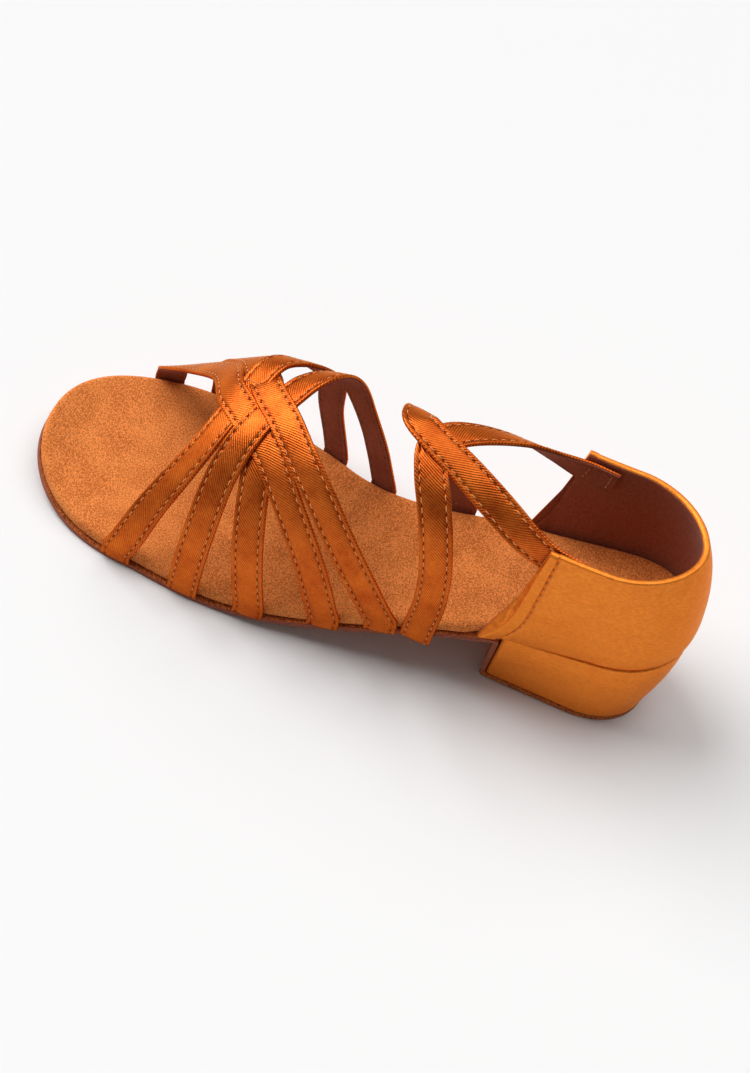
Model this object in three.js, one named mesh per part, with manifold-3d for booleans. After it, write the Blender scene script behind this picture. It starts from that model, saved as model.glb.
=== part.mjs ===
// Left ballroom sandal with a low block heel, a woven vamp of five straps, a closed heel counter
// and one long strap that passes through a belt loop in the waist of the sole.
// Millimetres, +X to the toe, +Y to the outer (lateral) side, +Z up.
// The origin is the centre of the heel cap's flat underside.
import * as THREE from 'three';
import Module from 'manifold-3d';

// Sole and last
const SOLE_LENGTH = 212;          // back of the heel cap to the tip of the toe
const BALL_WIDTH = 79;            // sole across the ball
const TOE_CURVE_LENGTH = 47;      // the rounded toe end
const TOE_ROUNDNESS = 2.15;       // exponent of the toe's plan curve
const TOE_SPRING = 7;             // rise of the sole at the toe tip
const FOREFOOT_FLAT_START = 146;  // the forefoot rests on the floor from here
const FOREFOOT_FLAT_END = 180;    // to here
const OUTSOLE_THICKNESS = 1.8;
const INSOLE_THICKNESS = 4.2;
const SOLE_MARGIN = 1.3;          // outsole beyond the insole, under the strap ends
const PLATE_EDGE = 1.1;           // eased edge of the insole
const SHEET_EDGE = 0.45;          // eased edge of the outsole
const ARCH_LIFT = 2.2;            // inner edge of the insole, raised along the arch
const HEEL_CUP_DEPTH = 1.6;       // hollow of the insole under the heel of the foot
const CLEARANCE = 0.3;            // between pieces that meet

// Heel
const HEEL_LENGTH = 50;           // back of the heel cap to the breast
const HEEL_BASE_WIDTH = 42;
const HEEL_SEAT_WIDTH = 46;
const HEEL_SEAT_OVERHANG = 2.5;   // top of the heel behind its cap
const HEEL_BREAST_HEIGHT = 26;    // top of the heel at the breast
const HEEL_SEAT_SLOPE = 0.21;     // rise of the heel seat to the back, per millimetre
const HEEL_ROUNDNESS = 2.3;       // exponent of the heel's plan curve
const HEEL_BULGE = 0.8;           // swell of the covered heel between cap and seat
const HEEL_BEND = 0.46;           // share of the heel's length where its round back ends
const HEEL_CORNER = 1.2;          // at the breast, seen from above
const CAP_CORNER = 1.6;
const CAP_EDGE = 0.35;            // eased rim of the cap
const CAP_THICKNESS = 2.2;
const FLAP_THICKNESS = 1.5;       // outsole where it runs down the breast
const FLAP_BEND_RADIUS = 3;

// Counter
const COUNTER_THICKNESS = 2.2;
const COUNTER_TOP = 71;           // height of its front corners above the floor
const COUNTER_BACK_RISE = 2.5;    // the back of the top edge lies higher
const COUNTER_BINDING_WIDTH = 4;  // raised folded edge at the front
const COUNTER_BINDING_RISE = 0.5;

// Straps
const STRAP_WIDTH = 10;
const STRAP_THICKNESS = 1.4;
const WELD = 0.25;                // crossing straps share this much of their thickness
const INSTEP_HEIGHT = 52;         // inside of the vamp above the insole at the ball
const RIDGE_OFFSET = -6;          // the instep's ridge lies to the inner side
const INSTEP_FULLNESS = 1.95;     // exponent of the foot's cross-section

// Belt loop
const SLOT_EASE = 1.6;            // the slots are longer than the strap is wide, at either end
const SLOT_WIDTH = 1.6;
const BRIDGE_WIDTH = 12;
const BRIDGE_CENTRE = 8;          // to the outer side of the heel's centre line

const MEDIAL = -1;
const LATERAL = 1;

// Half widths of the sole behind the toe curve.
// along is a share of SOLE_LENGTH, medial and lateral are shares of BALL_WIDTH.
const SOLE_PLAN = [
  { along: 0.235, medial: 0.280, lateral: 0.306 },
  { along: 0.292, medial: 0.246, lateral: 0.334 },
  { along: 0.354, medial: 0.231, lateral: 0.366 },
  { along: 0.415, medial: 0.236, lateral: 0.404 },
  { along: 0.470, medial: 0.266, lateral: 0.434 },
  { along: 0.520, medial: 0.320, lateral: 0.458 },
  { along: 0.575, medial: 0.392, lateral: 0.480 },
  { along: 0.632, medial: 0.450, lateral: 0.492 },
  { along: 0.690, medial: 0.488, lateral: 0.494 },
  { along: 0.736, medial: 0.497, lateral: 0.486 },
  { along: 0.779, medial: 0.490, lateral: 0.473 },
];

// Height of the foot above the insole along its ridge.
// along is a share of SOLE_LENGTH, height is a share of INSTEP_HEIGHT.
const RIDGE = [
  { along: 0.380, height: 1.310 },
  { along: 0.470, height: 1.265 },
  { along: 0.545, height: 1.215 },
  { along: 0.605, height: 1.115 },
  { along: 0.660, height: 1.035 },
  { along: 0.710, height: 0.945 },
  { along: 0.755, height: 0.775 },
  { along: 0.816, height: 0.530 },
  { along: 0.873, height: 0.310 },
];

// Vamp straps over the foot. along is a share of SOLE_LENGTH. around goes from -1 at the inner
// edge of the insole over the ridge at 0 to 1 at the outer edge. layer is 1 where a strap lies on
// another and below 0 where it is drawn in under its neighbours.
const TOE_STRAP = [
  { along: 0.873, around: -1.00, layer: 0 },
  { along: 0.862, around: -0.68, layer: 0 },
  { along: 0.809, around: -0.40, layer: 0 },
  { along: 0.756, around: -0.15, layer: 0.5 },
  { along: 0.725, around: 0.08, layer: 1.35 },
  { along: 0.681, around: 0.23, layer: 0.35 },
  { along: 0.635, around: 0.35, layer: 0.4 },
  { along: 0.578, around: 0.56, layer: 0 },
  { along: 0.522, around: 0.79, layer: 0 },
  { along: 0.484, around: 1.00, layer: 0 },
];
const SECOND_STRAP = [
  { along: 0.784, around: -1.00, layer: 0 },
  { along: 0.782, around: -0.75, layer: 0 },
  { along: 0.760, around: -0.54, layer: 0.6 },
  { along: 0.731, around: -0.33, layer: 0.2 },
  { along: 0.706, around: -0.09, layer: -0.3 },
  { along: 0.678, around: 0.06, layer: 1.4 },
  { along: 0.618, around: 0.25, layer: 1.5 },
  { along: 0.543, around: 0.51, layer: 0.3 },
  { along: 0.458, around: 0.80, layer: 0 },
  { along: 0.405, around: 1.00, layer: 0 },
];
const THIRD_STRAP = [
  { along: 0.689, around: -1.00, layer: 0 },
  { along: 0.732, around: -0.72, layer: 0 },
  { along: 0.747, around: -0.47, layer: -0.4 },
  { along: 0.721, around: -0.21, layer: -0.7 },
  { along: 0.685, around: 0.03, layer: -0.8 },
  { along: 0.659, around: 0.27, layer: -0.7 },
  { along: 0.629, around: 0.61, layer: 0 },
  { along: 0.592, around: 1.00, layer: 0 },
];
const FIRST_RETURN_STRAP = [
  { along: 0.805, around: 1.00, layer: 0 },
  { along: 0.774, around: 0.65, layer: 0 },
  { along: 0.732, around: 0.33, layer: -0.1 },
  { along: 0.704, around: 0.07, layer: 0.5 },
  { along: 0.684, around: -0.13, layer: 1.75 },
  { along: 0.651, around: -0.29, layer: 0.8 },
  { along: 0.618, around: -0.48, layer: 0.2 },
  { along: 0.611, around: -0.75, layer: 0 },
  { along: 0.582, around: -1.00, layer: 0 },
];
const SECOND_RETURN_STRAP = [
  { along: 0.694, around: 1.00, layer: 0 },
  { along: 0.693, around: 0.72, layer: 0 },
  { along: 0.689, around: 0.44, layer: 0.7 },
  { along: 0.672, around: 0.24, layer: 1.35 },
  { along: 0.645, around: 0.06, layer: 0.1 },
  { along: 0.615, around: -0.16, layer: 0 },
  { along: 0.589, around: -0.39, layer: 0 },
  { along: 0.561, around: -0.63, layer: 0 },
  { along: 0.522, around: -0.83, layer: 0 },
  { along: 0.490, around: -1.00, layer: 0 },
];

// Long strap: from the counter's inner corner over the instep and down the outer side, then from
// the inner edge of the waist over the instep to the counter's outer corner, where it lies on top.
// along is a share of SOLE_LENGTH, across of BALL_WIDTH, up of COUNTER_TOP. tilt is the turn of the
// strap's face from level to the outer side, in degrees.
const LONG_STRAP_DOWN = [
  { along: 0.179, across: -0.236, up: 0.902, tilt: -86 },
  { along: 0.226, across: -0.231, up: 0.915, tilt: -82 },
  { along: 0.269, across: -0.210, up: 0.951, tilt: -64 },
  { along: 0.321, across: -0.165, up: 1.007, tilt: -44 },
  { along: 0.377, across: -0.082, up: 1.051, tilt: -22 },
  { along: 0.415, across: 0.000, up: 1.070, tilt: -4 },
  { along: 0.431, across: 0.082, up: 1.067, tilt: 12 },
  { along: 0.419, across: 0.177, up: 1.032, tilt: 30 },
  { along: 0.400, across: 0.253, up: 0.970, tilt: 47 },
  { along: 0.380, across: 0.316, up: 0.866, tilt: 64 },
  { along: 0.361, across: 0.362, up: 0.704, tilt: 78 },
  { along: 0.352, across: 0.378, up: 0.521, tilt: 87 },
  { along: 0.352, across: 0.378, up: 0.345, tilt: 90 },
];
const LONG_STRAP_UP = [
  { along: 0.366, across: -0.244, up: 0.359, tilt: -90 },
  { along: 0.387, across: -0.248, up: 0.507, tilt: -84 },
  { along: 0.420, across: -0.222, up: 0.690, tilt: -72 },
  { along: 0.448, across: -0.165, up: 0.873, tilt: -55 },
  { along: 0.467, across: -0.089, up: 1.021, tilt: -30 },
  { along: 0.465, across: 0.000, up: 1.085, tilt: -3 },
  { along: 0.434, across: 0.057, up: 1.089, tilt: 6 },
  { along: 0.382, across: 0.108, up: 1.056, tilt: 16 },
  { along: 0.321, across: 0.165, up: 1.000, tilt: 38 },
  { along: 0.269, across: 0.210, up: 0.946, tilt: 64 },
  { along: 0.226, across: 0.231, up: 0.915, tilt: 82 },
  { along: 0.179, across: 0.236, up: 0.902, tilt: 86 },
];

// Sections of the counter from its seam with the heel up to its top edge. up is a share of the
// wall's height, width is a share of HEEL_SEAT_WIDTH, back, bend and front are shares of
// HEEL_LENGTH from the back of the heel cap: the round back ends at bend. round is the back's exponent.
const COUNTER_SECTIONS = [
  { up: 0.00, width: 1.000, back: -0.050, bend: 0.46, front: 1.150, round: 2.30 },
  { up: 0.12, width: 1.030, back: -0.060, bend: 0.46, front: 1.075, round: 2.28 },
  { up: 0.30, width: 1.045, back: -0.045, bend: 0.48, front: 1.020, round: 2.20 },
  { up: 0.55, width: 1.030, back: -0.005, bend: 0.52, front: 1.000, round: 2.08 },
  { up: 0.80, width: 0.985, back: 0.055, bend: 0.57, front: 0.985, round: 1.94 },
  { up: 1.00, width: 0.935, back: 0.125, bend: 0.62, front: 0.970, round: 1.84 },
];

// Solids

const wasm = await Module();
wasm.setup();

const lerp = (a, b, t) => a + (b - a) * t;
const clamp01 = (t) => Math.min(1, Math.max(0, t));
const smooth = (t) => clamp01(t) ** 2 * (3 - 2 * clamp01(t));
const range = (count) => Array.from({ length: count }, (_, i) => i / (count - 1));

// Cubic curve through one column of a table, over the share along (or up).
function column(rows, key, name) {
  const knots = rows.map((row) => row[key]);
  const values = rows.map((row) => row[name]);
  const slope = values.map((value, i) => {
    const a = Math.max(0, i - 1);
    const b = Math.min(values.length - 1, i + 1);
    return (values[b] - values[a]) / (knots[b] - knots[a]);
  });
  return (at) => {
    const last = knots.length - 1;
    if (at <= knots[0]) return values[0];
    if (at >= knots[last]) return values[last];
    const i = knots.findIndex((knot) => knot > at) - 1;
    const span = knots[i + 1] - knots[i];
    const t = (at - knots[i]) / span;
    const start = values[i] + t * t * (3 - 2 * t) * (values[i + 1] - values[i]);
    return start + span * t * (1 - t) * ((1 - t) * slope[i] - t * slope[i + 1]);
  };
}

// A closed solid from rings of points, each ring closed and all of one count, capped at both ends.
function loft(rings) {
  const count = rings[0].length;
  const points = rings.flat();
  const triangles = [];
  rings.slice(1).forEach((_, r) => {
    for (let i = 0; i < count; i += 1) {
      const a = r * count + i;
      const b = r * count + ((i + 1) % count);
      triangles.push([a, b, b + count], [a, b + count, a + count]);
    }
  });
  [0, rings.length - 1].forEach((r) => {
    const centre = points.length;
    const ring = rings[r];
    points.push([0, 1, 2].map((k) => ring.reduce((sum, p) => sum + p[k], 0) / count));
    for (let i = 0; i < count; i += 1) {
      const a = r * count + i;
      const b = r * count + ((i + 1) % count);
      triangles.push(r === 0 ? [b, a, centre] : [a, b, centre]);
    }
  });
  return solid(points, triangles);
}

function solid(points, triangles) {
  const volume = triangles.reduce((sum, [a, b, c]) => {
    const [p, q, r] = [points[a], points[b], points[c]].map((v) => new THREE.Vector3(...v));
    return sum + p.dot(q.cross(r));
  }, 0);
  const outward = volume > 0 ? triangles : triangles.map(([a, b, c]) => [a, c, b]);
  return new wasm.Manifold(new wasm.Mesh({
    numProp: 3,
    vertProperties: new Float32Array(points.flat()),
    triVerts: new Uint32Array(outward.flat()),
  }));
}

function block(low, high) {
  const [[x0, y0, z0], [x1, y1, z1]] = [low, high];
  const ring = (z) => [[x0, y0, z], [x1, y0, z], [x1, y1, z], [x0, y1, z]];
  return loft([ring(z0), ring(z1)]);
}

// Last: heights and widths at a place along the sole, measured from the back of the heel cap

const medialShare = column(SOLE_PLAN, 'along', 'medial');
const lateralShare = column(SOLE_PLAN, 'along', 'lateral');
const toeCurveStart = SOLE_LENGTH - TOE_CURVE_LENGTH;

// Half width of the outsole.
function soleHalf(side, s) {
  const share = side === MEDIAL ? medialShare : lateralShare;
  const straight = share(Math.min(s, toeCurveStart) / SOLE_LENGTH) * BALL_WIDTH;
  const into = clamp01((s - toeCurveStart) / TOE_CURVE_LENGTH);
  return straight * (1 - into ** TOE_ROUNDNESS) ** (1 / TOE_ROUNDNESS);
}

// Underside of the outsole, level on the floor under the forefoot, and of its line behind the breast.
function soleLine(s) {
  const seat = HEEL_BREAST_HEIGHT - OUTSOLE_THICKNESS;
  if (s <= HEEL_LENGTH) return seat + (HEEL_LENGTH - s) * HEEL_SEAT_SLOPE;
  if (s < FOREFOOT_FLAT_START) {
    const span = FOREFOOT_FLAT_START - HEEL_LENGTH;
    const t = (s - HEEL_LENGTH) / span;
    return seat * (1 - smooth(t)) - HEEL_SEAT_SLOPE * span * t * (1 - t) ** 2;
  }
  return TOE_SPRING * (Math.max(0, s - FOREFOOT_FLAT_END) / (SOLE_LENGTH - FOREFOOT_FLAT_END)) ** 2;
}

const seatLine = (s) => soleLine(s) + OUTSOLE_THICKNESS;
const bedTop = (s) => seatLine(s) + CLEARANCE + INSOLE_THICKNESS;

// Half width of the heel seat, round at the back, drawn into the sole's width at the breast.
const seatCurveEnd = HEEL_LENGTH * HEEL_BEND;
function seatHalf(side, s, inset = 0) {
  const half = HEEL_SEAT_WIDTH / 2 - inset;
  const back = -HEEL_SEAT_OVERHANG + inset;
  const into = clamp01((seatCurveEnd - s) / (seatCurveEnd - back));
  const round = half * (1 - into ** HEEL_ROUNDNESS) ** (1 / HEEL_ROUNDNESS);
  const toSole = smooth((s - seatCurveEnd) / (HEEL_LENGTH - seatCurveEnd));
  return lerp(round, soleHalf(side, HEEL_LENGTH) - inset, s > seatCurveEnd ? toSole : 0);
}

// Half width of the insole: inside the counter at the heel, inside the outsole's edge in front of it.
const counterFront = HEEL_LENGTH * COUNTER_SECTIONS[0].front;
const insoleHeelInset = COUNTER_THICKNESS + CLEARANCE;
const insoleBack = -HEEL_SEAT_OVERHANG + insoleHeelInset;
const insoleToe = SOLE_LENGTH - SOLE_MARGIN / 2;
function insoleHalf(side, s) {
  if (s < HEEL_LENGTH) return seatHalf(side, s, insoleHeelInset);
  const into = smooth((s - counterFront - CLEARANCE) / (insoleHeelInset * 1.5));
  const inset = lerp(insoleHeelInset, SOLE_MARGIN, into);
  const share = clamp01((s - toeCurveStart) / (insoleToe - toeCurveStart));
  const scaled = toeCurveStart + share * TOE_CURVE_LENGTH;
  const outer = soleHalf(side, s < toeCurveStart ? s : scaled);
  return outer * (1 - SOLE_MARGIN * 2 / BALL_WIDTH) - (inset - SOLE_MARGIN);
}

// Foot's surface above the insole. The straps lie on it.
const ridgeShare = column(RIDGE, 'along', 'height');
function lastPoint(s, around) {
  const side = around < 0 ? MEDIAL : LATERAL;
  const half = insoleHalf(side, s) + CLEARANCE;
  const turn = Math.min(1, Math.abs(around)) * Math.PI / 2;
  const out = Math.sin(turn) ** (2 / INSTEP_FULLNESS);
  const up = Math.max(0, Math.cos(turn)) ** (2 / INSTEP_FULLNESS);
  return new THREE.Vector3(
    s,
    lerp(RIDGE_OFFSET, side * half, out),
    bedTop(s) + ridgeShare(s / SOLE_LENGTH) * INSTEP_HEIGHT * up,
  );
}

// Outward normal of the foot's surface, level at the insole's edges.
function lastNormal(s, around) {
  const reach = Math.min(0.985, Math.max(-0.985, around));
  const step = 0.01;
  const alongEdge = lastPoint(s + 1, reach).sub(lastPoint(s - 1, reach));
  const aroundEdge = lastPoint(s, reach + step).sub(lastPoint(s, reach - step));
  const normal = alongEdge.cross(aroundEdge).normalize();
  const edge = smooth((Math.abs(around) - 0.9) / 0.1);
  const level = new THREE.Vector3(normal.x, normal.y, 0).normalize();
  return normal.lerp(level, edge).normalize();
}

// Plates: insole and outsole

// Closed section of a plate between two heights, with eased edges and a dished top.
const plateShares = [-0.75, -0.4, 0, 0.4, 0.75];
function plateSection(s, half, low, high, ease, dish) {
  const eased = (side) => Math.min(ease, half(side, s) / 2);
  const y = (share) => {
    const side = share < 0 ? MEDIAL : LATERAL;
    return share * (half(side, s) - eased(side));
  };
  const corner = (side, z, inward) => [s, side * half(side, s) - side * inward * eased(side), z];
  return [
    ...plateShares.map((share) => [s, y(share), low]),
    corner(LATERAL, low, 1),
    corner(LATERAL, low + ease, 0),
    corner(LATERAL, high - ease, 0),
    corner(LATERAL, high, 1),
    ...plateShares.toReversed().map((share) => [s, y(share), high - dish * (1 - share ** 2)]),
    corner(MEDIAL, high, 1),
    corner(MEDIAL, high - ease, 0),
    corner(MEDIAL, low + ease, 0),
    corner(MEDIAL, low, 1),
  ];
}

// Places along a plate, close together at the rounded ends.
function stations(from, to, count, fine = 1) {
  return range(count).map((t) => lerp(from, to, lerp(t, (1 - Math.cos(Math.PI * t)) / 2, fine)));
}

const place = (rings) => rings.map((ring) => ring.map(([x, y, z]) => [x - HEEL_LENGTH / 2, y, z]));

// Insole, or with grow the room that it takes up with a clearance all round.
function insoleSolid(grow = 0) {
  const half = (side, s) => insoleHalf(side, s) + grow;
  const ease = grow > 0 ? grow / 4 : PLATE_EDGE;
  const rings = stations(insoleBack + 0.2, insoleToe - 0.2, 44).map((s) => {
    const base = seatLine(s) + CLEARANCE;
    const cup = HEEL_CUP_DEPTH * smooth((HEEL_LENGTH * 1.2 - s) / HEEL_LENGTH);
    const arch = ARCH_LIFT * smooth((s - HEEL_LENGTH) / 20) * smooth((FOREFOOT_FLAT_START - 30 - s) / 30);
    const ring = plateSection(s, half, base - grow, base + INSOLE_THICKNESS + grow, ease, cup);
    return ring.map(([x, y, z]) => {
      const inner = smooth(-y / (BALL_WIDTH * 0.3));
      return [x, y, z > base + PLATE_EDGE + grow ? z + arch * inner : z];
    });
  });
  return loft(place(rings));
}

// Everything below the upper face of the outsole, with the clearance that the straps' ends keep to it.
function underSolid() {
  const wide = BALL_WIDTH;
  const rings = stations(HEEL_LENGTH, SOLE_LENGTH, 40, 0).map((s) => {
    const high = seatLine(s) + CLEARANCE;
    return [[s, -wide, -wide], [s, wide, -wide], [s, wide, high], [s, -wide, high]];
  });
  return loft(place(rings));
}

// The outsole is one sheet: up the breast of the heel, round a bend, and forward under the waist.
const bendCentre = { s: HEEL_LENGTH + CLEARANCE + FLAP_THICKNESS / 2 + FLAP_BEND_RADIUS };
function sheetPath() {
  const breastLine = HEEL_LENGTH + CLEARANCE + FLAP_THICKNESS / 2;
  const middle = (s) => soleLine(s) + OUTSOLE_THICKNESS / 2;
  const top = middle(bendCentre.s);
  const slope = (middle(bendCentre.s + 1) - middle(bendCentre.s - 1)) / 2;
  const turn = Math.PI / 2 + Math.atan(slope);
  const centreHeight = top - FLAP_BEND_RADIUS;
  const foot = CAP_THICKNESS + CLEARANCE;
  const flap = range(7).map((t) => ({
    s: breastLine, z: lerp(foot, centreHeight, t), n: [-1, 0], half: FLAP_THICKNESS / 2, flap: 1,
  }));
  const bend = range(7).slice(1).map((t) => {
    const angle = Math.PI - turn * t;
    const n = [Math.cos(angle), Math.sin(angle)];
    return {
      s: bendCentre.s + n[0] * FLAP_BEND_RADIUS,
      z: centreHeight + n[1] * FLAP_BEND_RADIUS,
      n,
      half: lerp(FLAP_THICKNESS, OUTSOLE_THICKNESS, t) / 2,
      flap: 1 - t,
    };
  });
  const forward = stations(bendCentre.s + 3, SOLE_LENGTH - 0.15, 42, 0.75).map((s) => {
    const ahead = Math.min(s + 1, SOLE_LENGTH);
    const rise = (middle(ahead) - middle(s - 1)) / (ahead - s + 1);
    const length = Math.hypot(1, rise);
    const level = s > FOREFOOT_FLAT_START && s < FOREFOOT_FLAT_END;
    const n = level ? [0, 1] : [-rise / length, 1 / length];
    return { s, z: middle(s), n, half: OUTSOLE_THICKNESS / 2, flap: 0 };
  });
  return [...flap, ...bend, ...forward];
}

// Half width of the heel at a height, from its base to its seat.
const heelHalfAt = (z) => lerp(HEEL_BASE_WIDTH, HEEL_SEAT_WIDTH, clamp01(z / HEEL_BREAST_HEIGHT)) / 2;

function outsoleSolid() {
  const rings = sheetPath().map((p) => {
    const half = (side) => lerp(soleHalf(side, Math.max(HEEL_LENGTH, p.s)), heelHalfAt(p.z), smooth(p.flap));
    const at = (side, inset, off) => {
      const wide = half(side);
      return [p.s + p.n[0] * off, side * (wide - Math.min(inset, wide / 2)), p.z + p.n[1] * off];
    };
    const face = (off) => [at(MEDIAL, SHEET_EDGE, off), at(LATERAL, SHEET_EDGE, off)];
    const side = (name, off) => at(name, 0, off);
    const low = -p.half;
    const high = p.half;
    return [
      ...face(low), side(LATERAL, low + SHEET_EDGE), side(LATERAL, high - SHEET_EDGE),
      ...face(high).reverse(), side(MEDIAL, high - SHEET_EDGE), side(MEDIAL, low + SHEET_EDGE),
    ];
  });
  return loft(place(rings));
}

// The two slots of the belt loop, either side of its bridge.
function slotSolids() {
  const s = lerp(LONG_STRAP_DOWN.at(-1).along, LONG_STRAP_UP[0].along, 0.5) * SOLE_LENGTH;
  const reach = STRAP_WIDTH / 2 + SLOT_EASE;
  const x = s - HEEL_LENGTH / 2;
  const z = soleLine(s);
  return [-1, 1].map((end) => {
    const y = BRIDGE_CENTRE + end * (BRIDGE_WIDTH + SLOT_WIDTH) / 2;
    const deep = OUTSOLE_THICKNESS * 3;
    return block([x - reach, y - SLOT_WIDTH / 2, z - deep], [x + reach, y + SLOT_WIDTH / 2, z + deep]);
  });
}

// Heel and its cap

// Plan of the heel: straight breast with small corners, straight sides, round back.
const heelSide = [0, 0.3, 0.6, 1];
const heelBackTurns = range(15).slice(1, -1);
function heelPlan(width, back, front, corner) {
  const half = width / 2;
  const curveEnd = lerp(back, front, HEEL_BEND);
  const side = heelSide.map((t) => [lerp(front - corner, curveEnd, t), half]);
  const round = heelBackTurns.map((t) => {
    const turn = Math.PI * t;
    const along = Math.sin(turn) ** (2 / HEEL_ROUNDNESS);
    const across = Math.sign(Math.cos(turn)) * Math.abs(Math.cos(turn)) ** (2 / HEEL_ROUNDNESS);
    return [curveEnd - (curveEnd - back) * along, half * across];
  });
  const other = side.map(([s, y]) => [s, -y]).reverse();
  const breast = [[front, -half + corner], [front, 0], [front, half - corner]];
  return [...side, ...round, ...other, ...breast];
}

function heelSolid() {
  const bottom = CAP_THICKNESS + CLEARANCE;
  const base = heelPlan(HEEL_BASE_WIDTH, 0, HEEL_LENGTH, HEEL_CORNER);
  const seat = heelPlan(HEEL_SEAT_WIDTH, -HEEL_SEAT_OVERHANG, HEEL_LENGTH, HEEL_CORNER);
  const rings = range(7).map((t) => base.map(([bs, by], i) => {
    const [ts, ty] = seat[i];
    const swell = 1 + Math.sin(Math.PI * t) * HEEL_BULGE * 2 / HEEL_SEAT_WIDTH;
    const s = lerp(bs, ts, smooth(t));
    const back = s < HEEL_LENGTH / 2 ? HEEL_LENGTH / 2 + (s - HEEL_LENGTH / 2) * swell : s;
    return [back, lerp(by, ty, smooth(t)) * swell, lerp(bottom, seatLine(ts), t)];
  }));
  return loft(place(rings));
}

function heelCapSolid() {
  const front = HEEL_LENGTH + CLEARANCE + FLAP_THICKNESS;
  const outline = (inset) => heelPlan(HEEL_BASE_WIDTH - inset * 2, inset, front - inset, CAP_CORNER);
  const levels = [
    { z: 0, inset: CAP_EDGE },
    { z: CAP_EDGE, inset: 0 },
    { z: CAP_THICKNESS - CAP_EDGE, inset: 0 },
    { z: CAP_THICKNESS, inset: CAP_EDGE },
  ];
  return loft(place(levels.map(({ z, inset }) => outline(inset).map(([s, y]) => [s, y, z]))));
}

// Counter

const counterColumn = Object.fromEntries(
  ['width', 'back', 'bend', 'front', 'round'].map((name) => [name, column(COUNTER_SECTIONS, 'up', name)]),
);

// Outer face of the counter. turn runs from -1 at the inner front edge round the back to 1 at the
// outer one, up from 0 at the seam to 1 at the top.
const backTurnShare = 0.56;
function counterPoint(turn, up) {
  const side = turn < 0 ? MEDIAL : LATERAL;
  const [back, bend, front] = ['back', 'bend', 'front'].map((name) => counterColumn[name](up) * HEEL_LENGTH);
  const power = 2 / counterColumn.round(up);
  const reach = Math.abs(turn);
  const wide = counterColumn.width(up) * HEEL_SEAT_WIDTH / 2;
  let s;
  let y;
  if (reach < backTurnShare) {
    const angle = reach / backTurnShare * Math.PI / 2;
    s = bend - (bend - back) * Math.cos(angle) ** power;
    y = wide * Math.sin(angle) ** power;
  } else {
    const t = (reach - backTurnShare) / (1 - backTurnShare);
    s = lerp(bend, front, t);
    const toSole = soleHalf(side, Math.max(HEEL_LENGTH, s)) / (HEEL_SEAT_WIDTH / 2);
    y = wide * lerp(1, lerp(toSole, 1, up), smooth(t));
  }
  const low = seatLine(s) + CLEARANCE;
  const high = COUNTER_TOP + COUNTER_BACK_RISE * (1 - smooth((s + HEEL_SEAT_OVERHANG) / HEEL_LENGTH));
  return new THREE.Vector3(s, side * y, lerp(low, high, up));
}

function counterNormal(turn, up) {
  const t = Math.min(0.97, Math.max(-0.97, turn));
  const u = Math.min(0.98, Math.max(0.02, up));
  const a = counterPoint(t + 0.02, u).sub(counterPoint(t - 0.02, u));
  const b = counterPoint(t, u + 0.02).sub(counterPoint(t, u - 0.02));
  return b.cross(a).normalize();
}

function counterSolid() {
  const ups = [0, 0.12, 0.3, 0.5, 0.7, 0.86, 0.97];
  const turns = range(39).map((t) => lerp(-1, 1, t));
  const sideLength = HEEL_LENGTH * (COUNTER_SECTIONS[2].front - COUNTER_SECTIONS[2].bend);
  const binding = 1 - COUNTER_BINDING_WIDTH / sideLength * (1 - backTurnShare);
  const edges = [binding - 0.004, binding + 0.012];
  const all = [...turns, ...edges, ...edges.map((e) => -e)].sort((a, b) => a - b);
  const rings = all.map((turn) => {
    const raised = Math.abs(turn) > binding ? COUNTER_BINDING_RISE : 0;
    const wall = (up, off) => counterPoint(turn, up).addScaledVector(counterNormal(turn, up), off).toArray();
    const outer = ups.map((up) => wall(up, raised));
    const inner = ups.map((up) => wall(up, -COUNTER_THICKNESS)).reverse();
    const rim = [wall(1, raised - COUNTER_THICKNESS * 0.25), wall(1, -COUNTER_THICKNESS * 0.75)];
    return [...outer, ...rim, ...inner];
  });
  return loft(place(rings));
}

// Straps

// Smooth path through a table's rows, as places on the foot with their normals.
function strapCourse(rows, count) {
  const numbered = rows.map((row, i) => ({ ...row, step: i / (rows.length - 1) }));
  const [along, around, layer] = ['along', 'around', 'layer'].map((name) => column(numbered, 'step', name));
  const lift = STRAP_THICKNESS - WELD;
  return range(count).map((t) => {
    const s = along(t) * SOLE_LENGTH;
    const normal = lastNormal(s, around(t));
    const point = lastPoint(s, around(t)).addScaledVector(normal, STRAP_THICKNESS / 2 + layer(t) * lift);
    return { point, normal };
  });
}

// A strap's end runs straight down the side of the insole, past the outsole's face where it is cut off.
function strapTail(end, count) {
  const drop = end.point.z - seatLine(end.point.x) + STRAP_THICKNESS * 2;
  return range(count).slice(1).map((t) => ({
    point: end.point.clone().setZ(end.point.z - drop * t),
    normal: end.normal,
  }));
}

// Sections of a flat strap carried along a course, square to the course and lying on the normal.
function strapRings(course, width = STRAP_WIDTH, thickness = STRAP_THICKNESS) {
  const ease = thickness * 0.3;
  const half = width / 2;
  const rise = thickness / 2;
  return place(course.map(({ point, normal }, i) => {
    const before = course[Math.max(0, i - 1)].point;
    const after = course[Math.min(course.length - 1, i + 1)].point;
    const forward = after.clone().sub(before).normalize();
    const across = new THREE.Vector3().crossVectors(normal, forward).normalize();
    const up = new THREE.Vector3().crossVectors(forward, across).normalize();
    const at = (w, h) => point.clone().addScaledVector(across, w).addScaledVector(up, h).toArray();
    return [
      at(-half, -rise + ease), at(-half + ease, -rise), at(half - ease, -rise), at(half, -rise + ease),
      at(half, rise - ease), at(half - ease, rise), at(-half + ease, rise), at(-half, rise - ease),
    ];
  }));
}

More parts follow.
